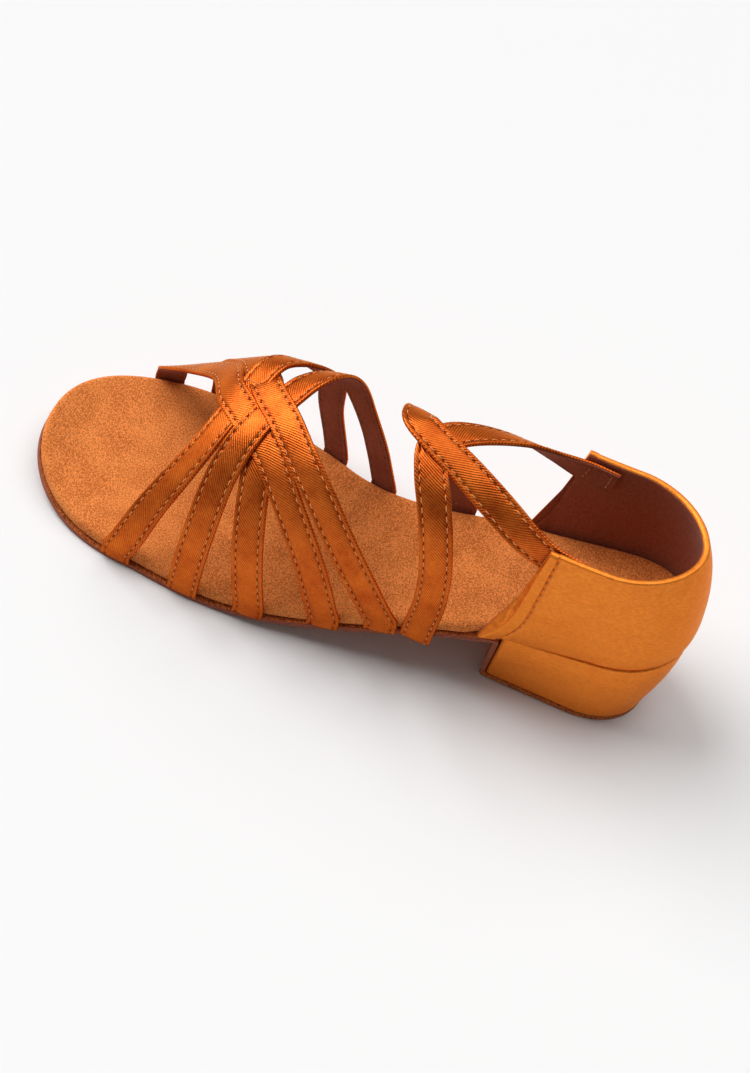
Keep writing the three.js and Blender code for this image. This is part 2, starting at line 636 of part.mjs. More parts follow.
function vampStrap(rows) {
  const course = strapCourse(rows, 27);
  const start = strapTail(course[0], 3).reverse();
  const end = strapTail(course[course.length - 1], 3);
  return loft(strapRings([...start, ...course, ...end]));
}

const join = (solids) => solids.reduce((all, one) => all.add(one));

// Pockets shut in between crossing straps are filled.
const filled = (body) => join(body.decompose().filter((shell) => shell.volume() > 0));

const VAMP_STRAPS = [TOE_STRAP, SECOND_STRAP, THIRD_STRAP, FIRST_RETURN_STRAP, SECOND_RETURN_STRAP];
const vampSolid = () => filled(join(VAMP_STRAPS.map(vampStrap)));

// Stretch of the long strap under the sole: round the outer edge, up through a slot, over the bridge
// of the belt loop, down through the other slot and round the inner edge.
const strapOff = CLEARANCE + STRAP_THICKNESS / 2;
function loopCourse() {
  const from = LONG_STRAP_DOWN.at(-1).along * SOLE_LENGTH;
  const to = LONG_STRAP_UP[0].along * SOLE_LENGTH;
  const edge = (side) => {
    const s = side === LATERAL ? from : to;
    const half = soleHalf(side, s);
    const below = range(5).map((t) => {
      const n = [side * Math.cos(t * Math.PI / 2), -Math.sin(t * Math.PI / 2)];
      return { y: side * half + n[0] * strapOff, rise: n[1] * strapOff, n };
    });
    return [{ y: side * (half + strapOff), rise: OUTSOLE_THICKNESS, n: [side, 0] }, ...below];
  };
  const down = [0, -1];
  const above = OUTSOLE_THICKNESS + strapOff;
  const shelf = (end) => {
    const outer = BRIDGE_CENTRE + end * (BRIDGE_WIDTH / 2 + SLOT_WIDTH + STRAP_THICKNESS);
    const inner = BRIDGE_CENTRE + end * (BRIDGE_WIDTH / 2 - STRAP_THICKNESS);
    return [1, 0.85, 0.5, 0.15, 0].map((t) => ({
      y: lerp(inner, outer, t), rise: lerp(above, -strapOff, smooth(t)), n: down,
    }));
  };
  const points = [
    ...edge(LATERAL), ...shelf(1), ...shelf(-1).reverse(), ...edge(MEDIAL).reverse(),
  ];
  const [wide, narrow] = [points[0].y, points.at(-1).y];
  return points.map(({ y, rise, n }) => {
    const s = lerp(from, to, (wide - y) / (wide - narrow));
    return {
      point: new THREE.Vector3(s, y, soleLine(s) + rise),
      normal: new THREE.Vector3(0, n[0], n[1]),
    };
  });
}

// Smooth path through a table of places in the air, with the strap's face turned by its tilt.
function freeCourse(rows, count) {
  const numbered = rows.map((row, i) => ({ ...row, step: i / (rows.length - 1) }));
  const names = ['along', 'across', 'up', 'tilt'];
  const [along, across, up, tilt] = names.map((name) => column(numbered, 'step', name));
  return range(count).map((t) => {
    const turn = THREE.MathUtils.degToRad(tilt(t));
    return {
      point: new THREE.Vector3(along(t) * SOLE_LENGTH, across(t) * BALL_WIDTH, up(t) * COUNTER_TOP),
      normal: new THREE.Vector3(0, Math.sin(turn), Math.cos(turn)),
    };
  });
}

// Long strap, or with grow the room that it takes up with a clearance all round.
// Its two halves meet over the bridge and are joined again where they cross on the instep.
function longStrapSolid(grow = 0) {
  const down = freeCourse(LONG_STRAP_DOWN, 34);
  const loop = loopCourse();
  const up = freeCourse(LONG_STRAP_UP, 34);
  const rings = strapRings([...down, ...loop, ...up], STRAP_WIDTH + grow * 2, STRAP_THICKNESS + grow * 2);
  const middle = down.length + loop.length / 2;
  return filled(loft(rings.slice(0, middle + 1)).add(loft(rings.slice(middle))));
}

// Pieces

function mesh(name, body, color, roughness) {
  const { vertProperties, triVerts } = body.getMesh();
  const geometry = new THREE.BufferGeometry();
  geometry.setAttribute('position', new THREE.BufferAttribute(new Float32Array(vertProperties), 3));
  geometry.setIndex(new THREE.BufferAttribute(new Uint32Array(triVerts), 1));
  geometry.computeVertexNormals();
  const piece = new THREE.Mesh(geometry, new THREE.MeshStandardMaterial({ color, roughness, metalness: 0 }));
  piece.name = name;
  return piece;
}

const SATIN = 0xc8701c;
const SUEDE_SOLE = 0xa85a2a;
const SUEDE_BED = 0xc27a3c;

const strapRoom = longStrapSolid(CLEARANCE);
const channelRoom = longStrapSolid(CLEARANCE * 2);
const insoleRoom = insoleSolid(CLEARANCE);
const slotted = slotSolids().reduce((body, slot) => body.subtract(slot), outsoleSolid());

const shoe = new THREE.Group();
shoe.add(
  mesh('outsole', slotted.subtract(strapRoom), SUEDE_SOLE, 0.95),
  mesh('insole', insoleSolid().subtract(channelRoom), SUEDE_BED, 0.95),
  mesh('heel', heelSolid(), SATIN, 0.45),
  mesh('heel_cap', heelCapSolid(), SUEDE_SOLE, 0.95),
  mesh('heel_counter', counterSolid().subtract(insoleRoom), SATIN, 0.45),
  mesh('vamp_straps', vampSolid().subtract(insoleRoom).subtract(underSolid()), SATIN, 0.45),
  mesh('long_strap', longStrapSolid(), SATIN, 0.45),
);

export default shoe;
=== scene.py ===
"""Left ballroom sandal: woven satin straps, closed counter, low block heel and suede sole.

Lengths are in millimetres until a mesh is made. Places along the shoe are measured from the back of
the heel cap, and a mesh is moved back by half the heel's length to the part's own origin.
"""

import math

import bpy
import numpy as np
from mathutils import Matrix, Vector


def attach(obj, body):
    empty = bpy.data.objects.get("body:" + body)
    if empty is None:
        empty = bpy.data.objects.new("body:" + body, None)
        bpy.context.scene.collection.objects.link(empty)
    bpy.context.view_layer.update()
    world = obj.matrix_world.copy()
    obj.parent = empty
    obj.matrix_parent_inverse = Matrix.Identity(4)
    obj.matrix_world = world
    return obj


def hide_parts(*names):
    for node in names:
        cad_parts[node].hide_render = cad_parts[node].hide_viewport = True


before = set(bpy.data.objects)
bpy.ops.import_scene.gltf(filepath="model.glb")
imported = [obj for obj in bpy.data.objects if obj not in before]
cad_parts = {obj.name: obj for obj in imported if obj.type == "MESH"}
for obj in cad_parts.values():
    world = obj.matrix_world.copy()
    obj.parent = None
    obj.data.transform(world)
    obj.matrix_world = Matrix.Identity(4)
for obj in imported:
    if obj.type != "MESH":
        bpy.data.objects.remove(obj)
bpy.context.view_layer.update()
bpy.context.scene.view_settings.view_transform = "Standard"

MM = 0.001
MEDIAL, LATERAL = -1, 1

# Sole and last. Roundness is the power of a superellipse, slope is rise over run.
SOLE_LENGTH = 212
BALL_WIDTH = 79
TOE_CURVE_LENGTH = 47
TOE_ROUNDNESS = 2.15
TOE_SPRING = 7
FOREFOOT_FLAT_START = 146
FOREFOOT_FLAT_END = 180
OUTSOLE_THICKNESS = 1.8
INSOLE_THICKNESS = 4.2
SOLE_MARGIN = 1.3
ARCH_LIFT = 2.2
HEEL_CUP_DEPTH = 1.6
CLEARANCE = 0.3
ARCH_EASE_BACK = 20
ARCH_EASE_FRONT = 30
BED_RIM_ROUND = 2.1
BED_BASE_ROUND = 0.9

# Heel. Its bend is the share of its length, from the back, where the straight sides begin.
HEEL_LENGTH = 50
HEEL_BASE_WIDTH = 42
HEEL_SEAT_WIDTH = 46
HEEL_SEAT_OVERHANG = 2.5
HEEL_BREAST_HEIGHT = 26
HEEL_SEAT_SLOPE = 0.21
HEEL_ROUNDNESS = 2.3
HEEL_BULGE = 0.8
HEEL_BEND = 0.46
CAP_THICKNESS = 2.2
FLAP_THICKNESS = 1.5
FLAP_BEND_RADIUS = 3
HEEL_CORNER = 1.2
CAP_CORNER = 1.6
HEEL_EDGE_ROUND = 0.8
HEEL_JOINT = 0.1

# Counter. Turns run from 0 at the back to 1 at a front edge, and the wall's height and reach are
# those of its cloth, as it lies flat.
COUNTER_THICKNESS = 2.2
COUNTER_TOP = 71
COUNTER_BACK_RISE = 2.5
BINDING_WIDTH = 4
BINDING_RISE = 0.5
BACK_TURN = 0.56
FOLD_EASE = 0.012
SEAM_BEHIND_FOLD = 0.012
GROOVE_DEPTH = 0.28
GROOVE_WIDTH = 0.008
ROLL_START = 0.975
WALL_HEIGHT = 46
WALL_REACH = 68

# Straps. Where two touch, the upper one sinks into the lower by the weld.
STRAP_WIDTH = 10
STRAP_THICKNESS = 1.4
WELD = 0.25
INSTEP_HEIGHT = 52
RIDGE_OFFSET = -6
INSTEP_FULLNESS = 1.95
SLOT_EASE = 1.6
SLOT_WIDTH = 1.6
SLOT_BLEND = 14
BRIDGE_WIDTH = 12
BRIDGE_CENTRE = 8

# Stitches and twill. Rows lie to both sides of a strap's middle line, and the tack is at that point
# of the first return strap's course.
STITCH_ROW = 3.5
STITCH_PITCH = 3.0
STITCH_LENGTH = 1.9
STITCH_RADIUS = 0.16
SEAM_START = 3
END_ROWS = (2, 9)
CROSS_ROW_REACH = 0.62
TACK_STEP = 53
RIB_PITCH = 0.7
RIB_SLANT = 40
THREAD_PITCH = 0.42


# Tables. Along, across and up are shares of the sole's length, the ball's width and the counter's
# top. Around runs from -1 at the inner edge to 1 at the outer one, a layer is one strap's thickness
# less the weld, and tilt is in degrees. The counter's rows are shares of the heel's sizes.

def table(names, rows):
    """Rows of numbers as one dictionary of columns."""
    return dict(zip(names.split(), np.array(rows, float).T))


SOLE_PLAN = table("along medial lateral", [
    (0.235, 0.280, 0.306), (0.292, 0.246, 0.334), (0.354, 0.231, 0.366), (0.415, 0.236, 0.404),
    (0.470, 0.266, 0.434), (0.520, 0.320, 0.458), (0.575, 0.392, 0.480), (0.632, 0.450, 0.492),
    (0.690, 0.488, 0.494), (0.736, 0.497, 0.486), (0.779, 0.490, 0.473)])
RIDGE = table("along height", [
    (0.380, 1.31), (0.470, 1.265), (0.545, 1.215), (0.605, 1.115), (0.660, 1.035),
    (0.710, 0.945), (0.755, 0.775), (0.816, 0.53), (0.873, 0.31)])
VAMP = {
    "toe_strap": table("along around layer", [
        (0.873, -1.00, 0), (0.862, -0.68, 0), (0.809, -0.40, 0), (0.756, -0.15, 0.5),
        (0.725, 0.08, 1.35), (0.681, 0.23, 0.35), (0.635, 0.35, 0.4), (0.578, 0.56, 0),
        (0.522, 0.79, 0), (0.484, 1.00, 0)]),
    "second_strap": table("along around layer", [
        (0.784, -1.00, 0), (0.782, -0.75, 0), (0.760, -0.54, 0.6), (0.731, -0.33, 0.2),
        (0.706, -0.09, -0.7), (0.678, 0.06, 1.2), (0.618, 0.25, 1.5), (0.543, 0.51, 0.3),
        (0.458, 0.80, 0), (0.405, 1.00, 0)]),
    "third_strap": table("along around layer", [
        (0.689, -1.00, 0), (0.732, -0.72, 0), (0.747, -0.47, -0.4), (0.721, -0.21, -0.7),
        (0.685, 0.03, -0.8), (0.659, 0.27, -0.7), (0.629, 0.61, 0), (0.592, 1.00, 0)]),
    "first_return_strap": table("along around layer", [
        (0.805, 1.00, 0), (0.774, 0.65, 0), (0.732, 0.33, -0.1), (0.704, 0.07, 0.5),
        (0.684, -0.13, 2.2), (0.651, -0.29, 1.2), (0.618, -0.48, 0.2), (0.611, -0.75, 0),
        (0.582, -1.00, 0)]),
    "second_return_strap": table("along around layer", [
        (0.694, 1.00, 0), (0.693, 0.72, 0), (0.689, 0.44, 0.7), (0.672, 0.24, 1.35),
        (0.645, 0.06, 0.1), (0.615, -0.16, 0), (0.589, -0.39, 0), (0.561, -0.63, 0), (0.522, -0.83, 0),
        (0.490, -1.00, 0)]),
}
LONG_DOWN = table("along across up tilt", [
    (0.179, -0.236, 0.902, -86), (0.226, -0.231, 0.915, -82), (0.269, -0.210, 0.951, -64),
    (0.321, -0.165, 1.007, -44), (0.377, -0.082, 1.051, -22), (0.415, 0.000, 1.070, -4),
    (0.431, 0.082, 1.067, 12), (0.419, 0.177, 1.032, 30), (0.400, 0.253, 0.970, 47),
    (0.380, 0.316, 0.866, 64), (0.361, 0.362, 0.704, 78), (0.352, 0.378, 0.521, 87),
    (0.352, 0.378, 0.345, 90)])
LONG_UP = table("along across up tilt", [
    (0.366, -0.244, 0.359, -90), (0.387, -0.248, 0.507, -84), (0.420, -0.222, 0.690, -72),
    (0.448, -0.165, 0.873, -55), (0.467, -0.089, 1.021, -30), (0.465, 0.000, 1.085, -3),
    (0.434, 0.057, 1.089, 6), (0.382, 0.108, 1.056, 16), (0.321, 0.165, 1.000, 38),
    (0.269, 0.210, 0.946, 64), (0.226, 0.231, 0.915, 82), (0.179, 0.236, 0.902, 86)])
COUNTER = table("up width back bend front round", [
    (0.00, 1.000, -0.050, 0.46, 1.150, 2.30), (0.12, 1.030, -0.060, 0.46, 1.075, 2.28),
    (0.30, 1.045, -0.045, 0.48, 1.020, 2.20), (0.55, 1.030, -0.005, 0.52, 1.000, 2.08),
    (0.80, 0.985, 0.055, 0.57, 0.985, 1.94), (1.00, 0.935, 0.125, 0.62, 0.970, 1.84)])


# Curves and the last

def lerp(a, b, t):
    """From a to b by the share t."""
    return a + (b - a) * t


def smooth(t):
    """S curve from 0 to 1, level at both ends."""
    t = np.clip(t, 0, 1)
    return t * t * (3 - 2 * t)


def unit(vectors):
    """The vectors' directions, each of length 1."""
    return vectors / np.maximum(1e-9, np.linalg.norm(vectors, axis=-1, keepdims=True))


def column(rows, key, name):
    """Cubic through one column of a table, its slope at a knot that of the chord past that knot."""
    knots, values = rows[key], rows[name]
    last = len(knots) - 1
    before = np.maximum(np.arange(last + 1) - 1, 0)
    after = np.minimum(np.arange(last + 1) + 1, last)
    slope = (values[after] - values[before]) / (knots[after] - knots[before])

    def at(x):
        """The column at x, held at its ends."""
        x = np.clip(x, knots[0], knots[-1])
        i = np.clip(np.searchsorted(knots, x, side="right") - 1, 0, last - 1)
        span = knots[i + 1] - knots[i]
        t = (x - knots[i]) / span
        start = values[i] + t * t * (3 - 2 * t) * (values[i + 1] - values[i])
        return start + span * t * (1 - t) * ((1 - t) * slope[i] - t * slope[i + 1])

    return at


def stepped(rows):
    """The table with one more column, the share of its rows passed."""
    count = len(next(iter(rows.values())))
    return {**rows, "step": np.linspace(0, 1, count)}


share_of = {
    side: column(SOLE_PLAN, "along", name)
    for side, name in ((MEDIAL, "medial"), (LATERAL, "lateral"))}
ridge_share = column(RIDGE, "along", "height")
counter_of = {name: column(COUNTER, "up", name) for name in COUNTER if name != "up"}
toe_start = SOLE_LENGTH - TOE_CURVE_LENGTH
seat_bend = HEEL_LENGTH * HEEL_BEND
counter_front = HEEL_LENGTH * COUNTER["front"][0]
heel_inset = COUNTER_THICKNESS + CLEARANCE
insole_back = -HEEL_SEAT_OVERHANG + heel_inset
insole_toe = SOLE_LENGTH - SOLE_MARGIN / 2


def sole_half(side, s):
    """Half width of the outsole: the plan's column, times a superellipse quarter over the toe."""
    straight = share_of[side](np.minimum(s, toe_start) / SOLE_LENGTH) * BALL_WIDTH
    into = np.clip((s - toe_start) / TOE_CURVE_LENGTH, 0, 1)
    return straight * (1 - into ** TOE_ROUNDNESS) ** (1 / TOE_ROUNDNESS)


def sole_line(s):
    """Height of the outsole's underside: a slope under the heel, an S curve down the waist,
    level under the forefoot, and a parabola up the toe."""
    s = np.asarray(s, float)
    seat = HEEL_BREAST_HEIGHT - OUTSOLE_THICKNESS
    span = FOREFOOT_FLAT_START - HEEL_LENGTH
    t = (s - HEEL_LENGTH) / span
    waist = seat * (1 - smooth(t)) - HEEL_SEAT_SLOPE * span * t * (1 - t) ** 2
    spring = np.maximum(0, s - FOREFOOT_FLAT_END) / (SOLE_LENGTH - FOREFOOT_FLAT_END)
    heel = seat + (HEEL_LENGTH - s) * HEEL_SEAT_SLOPE
    waist_or_toe = np.where(s < FOREFOOT_FLAT_START, waist, TOE_SPRING * spring ** 2)
    return np.where(s <= HEEL_LENGTH, heel, waist_or_toe)


def seat_line(s):
    """Height of the outsole's upper face."""
    return sole_line(s) + OUTSOLE_THICKNESS


def bed_top(s):
    """Height of the insole's upper face, before its dish and its arch edge."""
    return seat_line(s) + CLEARANCE + INSOLE_THICKNESS


def seat_half(side, s, inset=0.0):
    """Half width of the heel seat: a superellipse round the back, eased into the sole at the breast."""
    half = HEEL_SEAT_WIDTH / 2 - inset
    back = -HEEL_SEAT_OVERHANG + inset
    into = np.clip((seat_bend - s) / (seat_bend - back), 0, 1)
    curved = half * (1 - into ** HEEL_ROUNDNESS) ** (1 / HEEL_ROUNDNESS)
    to_sole = smooth((s - seat_bend) / (HEEL_LENGTH - seat_bend))
    return lerp(curved, sole_half(side, HEEL_LENGTH) - inset, np.where(s > seat_bend, to_sole, 0))


def insole_half(side, s):
    """Half width of the insole: inside the counter at the heel, inside the outsole's edge in front."""
    s = np.asarray(s, float)
    into = smooth((s - counter_front - CLEARANCE) / (heel_inset * 1.5))
    inset = lerp(heel_inset, SOLE_MARGIN, into)
    share = np.clip((s - toe_start) / (insole_toe - toe_start), 0, 1)
    scaled = toe_start + share * TOE_CURVE_LENGTH
    outer = sole_half(side, np.where(s < toe_start, s, scaled))
    front = outer * (1 - SOLE_MARGIN * 2 / BALL_WIDTH) - (inset - SOLE_MARGIN)
    return np.where(s < HEEL_LENGTH, seat_half(side, s, heel_inset), front)


def sided(sign, half, s):
    """Half width of the inner side where the sign is below nought, else of the outer side."""
    return np.where(sign < 0, half(MEDIAL, s), half(LATERAL, s))


def last_point(s, around):
    """Foot's surface above the insole: a superellipse arch from edge to edge over an offset ridge."""
    half = sided(around, insole_half, s) + CLEARANCE
    turn = np.minimum(1, np.abs(around)) * np.pi / 2
    out = np.sin(turn) ** (2 / INSTEP_FULLNESS)
    up = np.maximum(0, np.cos(turn)) ** (2 / INSTEP_FULLNESS)
    y = lerp(RIDGE_OFFSET, np.where(around < 0, -1, 1) * half, out)
    z = bed_top(s) + ridge_share(s / SOLE_LENGTH) * INSTEP_HEIGHT * up
    return np.stack([s + 0 * y, y, z], -1)


def last_normal(s, around):
    """Outward normal of the foot's surface by central differences, turned level at the edges."""
    reach = np.clip(around, -0.985, 0.985)
    along_edge = last_point(s + 1, reach) - last_point(s - 1, reach)
    around_edge = last_point(s, reach + 0.01) - last_point(s, reach - 0.01)
    normal = unit(np.cross(along_edge, around_edge))
    edge = smooth((np.abs(around) - 0.9) / 0.1)[..., None]
    level = unit(normal * [1, 1, 0])
    return unit(lerp(normal, level, edge))


# Meshes

def put(name, points, faces, finishes, uv=None, kinds=None, sharp=42):
    """Mesh from points in millimetres and rows of four corners, turned outwards if its volume is
    negative. A row that names one corner twice running becomes a triangle."""
    placed = (points - [HEEL_LENGTH / 2, 0, 0]) * MM
    corners = placed[faces]
    volume = sum(
        np.einsum("ij,ij->", corners[:, 0], np.cross(corners[:, k], corners[:, k + 1]))
        for k in (1, 2))
    if volume < 0:
        faces = faces[:, ::-1]
    single = np.ones(faces.shape, bool)
    single[:, 1:] = faces[:, 1:] != faces[:, :-1]
    corner_vertex = faces[single].astype(np.int32)
    first_corner = np.cumsum(single.sum(1)) - single.sum(1)
    mesh = bpy.data.meshes.new(name)
    mesh.vertices.add(len(placed))
    mesh.vertices.foreach_set("co", placed.astype(np.float32).ravel())
    mesh.loops.add(len(corner_vertex))
    mesh.loops.foreach_set("vertex_index", corner_vertex)
    mesh.polygons.add(len(faces))
    mesh.polygons.foreach_set("loop_start", first_corner.astype(np.int32))
    mesh.update(calc_edges=True)
    for finish in finishes:
        mesh.materials.append(finish)
    if kinds is not None:
        mesh.polygons.foreach_set("material_index", np.asarray(kinds, np.int32))
    if uv is not None:
        cloth = uv[corner_vertex].astype(np.float32)
        mesh.uv_layers.new(name="cloth").data.foreach_set("uv", cloth.ravel())
    mesh.shade_smooth()
    mesh.set_sharp_from_angle(angle=math.radians(sharp))
    mesh.update()
    obj = bpy.data.objects.new(name, mesh)
    bpy.context.scene.collection.objects.link(obj)
    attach(obj, "root")
    return obj


def sweep(name, rings, finishes, uv=None, kinds=None, sharp=42):
    """Closed rings carried along a path. Each ring is joined to the next by quads, and each end is
    shut by a fan to its middle."""
    count, around = rings.shape[:2]
    index = np.arange(count * around).reshape(count, around)
    following = np.roll(index, -1, axis=1)
    walls = np.stack([index[:-1], following[:-1], following[1:], index[1:]], -1).reshape(-1, 4)
    kind = np.zeros(around, int) if kinds is None else np.asarray(kinds)
    first_middle, last_middle = (np.full(around, count * around + end) for end in (0, 1))
    first_fan = np.stack([following[0], index[0], first_middle, first_middle], -1)
    last_fan = np.stack([index[-1], following[-1], last_middle, last_middle], -1)
    points = np.concatenate([rings.reshape(-1, 3), rings[[0, -1]].mean(1)])
    if uv is not None:
        uv = np.concatenate([uv.reshape(-1, 2), uv[[0, -1]].mean(1)])
    faces = np.concatenate([walls, first_fan, last_fan])
    return put(name, points, faces, finishes, uv, np.tile(kind, count + 1), sharp)


def slab(name, top, bottom, finishes, holes=None, sharp=42, edge_kind=0):
    """Two grids of points, upper and lower, made one plate by walls along every edge of the cells that
    are kept, so that its rim and its holes are closed alike."""
    rows, cols = top.shape[:2]
    keep = np.ones((rows - 1, cols - 1), bool) if holes is None else ~holes
    upper = np.arange(rows * cols).reshape(rows, cols)
    lower = upper + rows * cols

    def cells(grid):
        """Four corners of each cell that is kept."""
        return np.stack([grid[:-1, :-1], grid[:-1, 1:], grid[1:, 1:], grid[1:, :-1]], -1)[keep]

    edge = np.pad(keep, 1)
    walls = []
    before, behind = edge[:-1, 1:-1], edge[1:, 1:-1]
    for mask, flip in ((behind & ~before, True), (before & ~behind, False)):
        i, j = np.nonzero(mask)
        a, b = (j + 1, j) if flip else (j, j + 1)
        walls.append(np.stack([upper[i, a], upper[i, b], lower[i, b], lower[i, a]], -1))
    left, right = edge[1:-1, :-1], edge[1:-1, 1:]
    for mask, flip in ((right & ~left, False), (left & ~right, True)):
        i, j = np.nonzero(mask)
        a, b = (i + 1, i) if flip else (i, i + 1)
        walls.append(np.stack([upper[a, j], upper[b, j], lower[b, j], lower[a, j]], -1))
    walls = np.concatenate(walls)
    faces = np.concatenate([cells(upper), cells(lower)[:, ::-1], walls])
    kinds = np.concatenate([np.zeros(2 * keep.sum(), int), np.full(len(walls), edge_kind)])
    points = np.concatenate([top.reshape(-1, 3), bottom.reshape(-1, 3)])
    used, faces = np.unique(faces, return_inverse=True)
    return put(name, points[used], faces.reshape(-1, 4), finishes, kinds=kinds, sharp=sharp)


def rim_distance(points, outline):
    """Shortest way from each point of a grid to a closed outline, seen from above."""
    flat = points[..., :2].reshape(-1, 1, 2)
    start, end = outline[None, :, :2], np.roll(outline, -1, axis=0)[None, :, :2]
    line = end - start
    t = np.clip(((flat - start) * line).sum(-1) / np.maximum(1e-9, (line ** 2).sum(-1)), 0, 1)
    nearest = np.linalg.norm(flat - start - line * t[..., None], axis=-1).min(1)
    return nearest.reshape(points.shape[:2])


def rounded(depth, radius):
    """Drop of a rounded edge at a distance from the rim: a quarter circle."""
    return radius - np.sqrt(radius ** 2 - np.maximum(0, radius - depth) ** 2)


def border(grid):
    """The points round the edge of a grid, in order."""
    return np.concatenate([grid[0], grid[1:, -1], grid[-1, -2::-1], grid[-2:0:-1, 0]])


# Node sheets

class Signal:
    """One socket of a node sheet. Arithmetic on it adds Math nodes."""

    def __init__(self, sheet, socket):
        self.sheet, self.socket = sheet, socket

    def apply(self, operation, *values):
        """Result of a Math node."""
        return self.sheet.node("ShaderNodeMath", {"operation": operation}, values)

    def beside(self, output):
        """Another output of the same node."""
        return Signal(self.sheet, self.socket.node.outputs[output])

    def __add__(self, other):
        return self.apply("ADD", self, other)

    def __sub__(self, other):
        return self.apply("SUBTRACT", self, other)

    def __rsub__(self, other):
        return self.apply("SUBTRACT", other, self)

    def __mul__(self, other):
        return self.apply("MULTIPLY", self, other)

    def __truediv__(self, other):
        return self.apply("DIVIDE", self, other)

    def __rtruediv__(self, other):
        return self.apply("DIVIDE", other, self)

    __radd__ = __add__
    __rmul__ = __mul__


class Sheet:
    """The empty node sheet of a material or of the sky, and the one method that adds a node to it."""

    def __init__(self, owner):
        owner.use_nodes = True
        self.tree = owner.node_tree
        self.tree.nodes.clear()

    def node(self, kind, settings=None, values=(), output=0):
        """A node of that kind, its settings set first, then its sockets by place or by name."""
        made = self.tree.nodes.new(kind)
        for setting, value in (settings or {}).items():
            if setting == "stops":
                for stop, (place, tone) in zip(made.color_ramp.elements, value):
                    stop.position, stop.color = place, tone
            else:
                setattr(made, setting, value)
        pairs = values.items() if isinstance(values, dict) else enumerate(values)
        for place, value in pairs:
            if isinstance(value, Signal):
                self.tree.links.new(value.socket, made.inputs[place])
            else:
                made.inputs[place].default_value = value
        return Signal(self, made.outputs[output]) if made.outputs else None


class Finish(Sheet):
    """One material: a Principled shader with constants on its own sockets, and its node sheet."""

    def __init__(self, name, constants):
        self.material = bpy.data.materials.new(name)
        super().__init__(self.material)
        shading = self.node("ShaderNodeBsdfPrincipled", values=constants)
        self.node("ShaderNodeOutputMaterial", values={"Surface": shading})
        self.shader = shading.socket.node

    def feed(self, socket, signal):
        """Link a signal to one of the shader's sockets."""
        self.tree.links.new(signal.socket, self.shader.inputs[socket])

    def place(self):
        """Object coordinates."""
        return self.node("ShaderNodeTexCoord", output="Object")

    def cloth(self):
        """Across and along the cloth, in millimetres."""
        uv = self.node("ShaderNodeUVMap", {"uv_map": "cloth"})
        across = self.node("ShaderNodeSeparateXYZ", values=(uv,), output="X")
        return across, across.beside("Y")

    def noise(self, size, detail=2.0, rough=0.5, stretch=(1, 1, 1)):
        """Soft noise of a feature size in millimetres."""
        where = self.node("ShaderNodeMapping", values={"Vector": self.place(), "Scale": stretch})
        return self.node("ShaderNodeTexNoise", values={
            "Vector": where, "Scale": 1000 / size, "Detail": detail, "Roughness": rough})

    def mix(self, a, b, share):
        """Colour between two colours. Sockets 6 and 7 of a Mix node are its two colours."""
        return self.node("ShaderNodeMix", {"data_type": "RGBA"}, {0: share, 6: a, 7: b}, output=2)

    def bump(self, height, depth):
        """Relief of that depth in millimetres, from a height between 0 and 1."""
        self.feed("Normal", self.node("ShaderNodeBump", values={
            "Strength": 1.0, "Distance": depth * MM, "Height": height}))


def wave(turns):
    """Between 0 and 1, once for each whole turn."""
    angle = turns * (2 * math.pi)
    return angle.apply("COSINE", angle) * 0.5 + 0.5


def bell(offset, width):
    """1 where the offset is nought, falling to nought over the width."""
    scaled = offset / width
    return scaled.apply("EXPONENT", scaled * scaled * -1)


def clamp(signal):
    """Kept between 0 and 1."""
    return signal.apply("MINIMUM", signal.apply("MAXIMUM", signal, 0), 1)


def colour(red, green, blue):
    """Opaque colour of a socket."""
    return (red, green, blue, 1.0)


# Finishes

# The satin's light tone is also painted on the rib crests as highlight, its dark tone in the hollows as
# shade
SATIN_LIGHT = colour(0.93, 0.225, 0.028)
SATIN_DARK = colour(0.36, 0.038, 0.004)
SATIN_GLOSS = colour(1.0, 0.60, 0.24)
# Painted light: the counter and heel are the straps' satin in lighter tones, a copy painted as though
# brightly lit
LIT_COVER_LIGHT = colour(1.0, 0.310, 0.040)
LIT_COVER_DARK = colour(0.74, 0.165, 0.016)
LINING_LIGHT = colour(0.40, 0.125, 0.058)
LINING_DARK = colour(0.22, 0.058, 0.026)
BED_LIGHT = colour(0.95, 0.305, 0.074)
BED_DARK = colour(0.47, 0.108, 0.020)
SOLE_LIGHT = colour(0.66, 0.175, 0.040)
SOLE_DARK = colour(0.22, 0.042, 0.008)
EDGE_LIGHT = colour(0.36, 0.095, 0.045)
EDGE_DARK = colour(0.17, 0.032, 0.014)
THREAD_LIGHT = colour(0.90, 0.40, 0.13)
THREAD_DARK = colour(0.62, 0.22, 0.055)
NAP_SHEEN = colour(1.0, 0.66, 0.40)
# Painted shade: the near-black brown put into the stitch holes and the slits between stitches
HOLE_SHADE = colour(0.060, 0.013, 0.003)


def stitch_gaps(across, along):
    """Three signals of the two stitch rows: the slits between stitches, the puckered band along the
    rows, and the beat that is 1 halfway between two stitches. The slits and the band are dents, and
    they also mark where shade is painted."""
    row = across.apply("ABSOLUTE", across) - STITCH_ROW
    beat = wave(along / STITCH_PITCH)
    return bell(row, 0.2) * clamp((beat - 0.62) * 4.0), bell(row, 0.8), beat


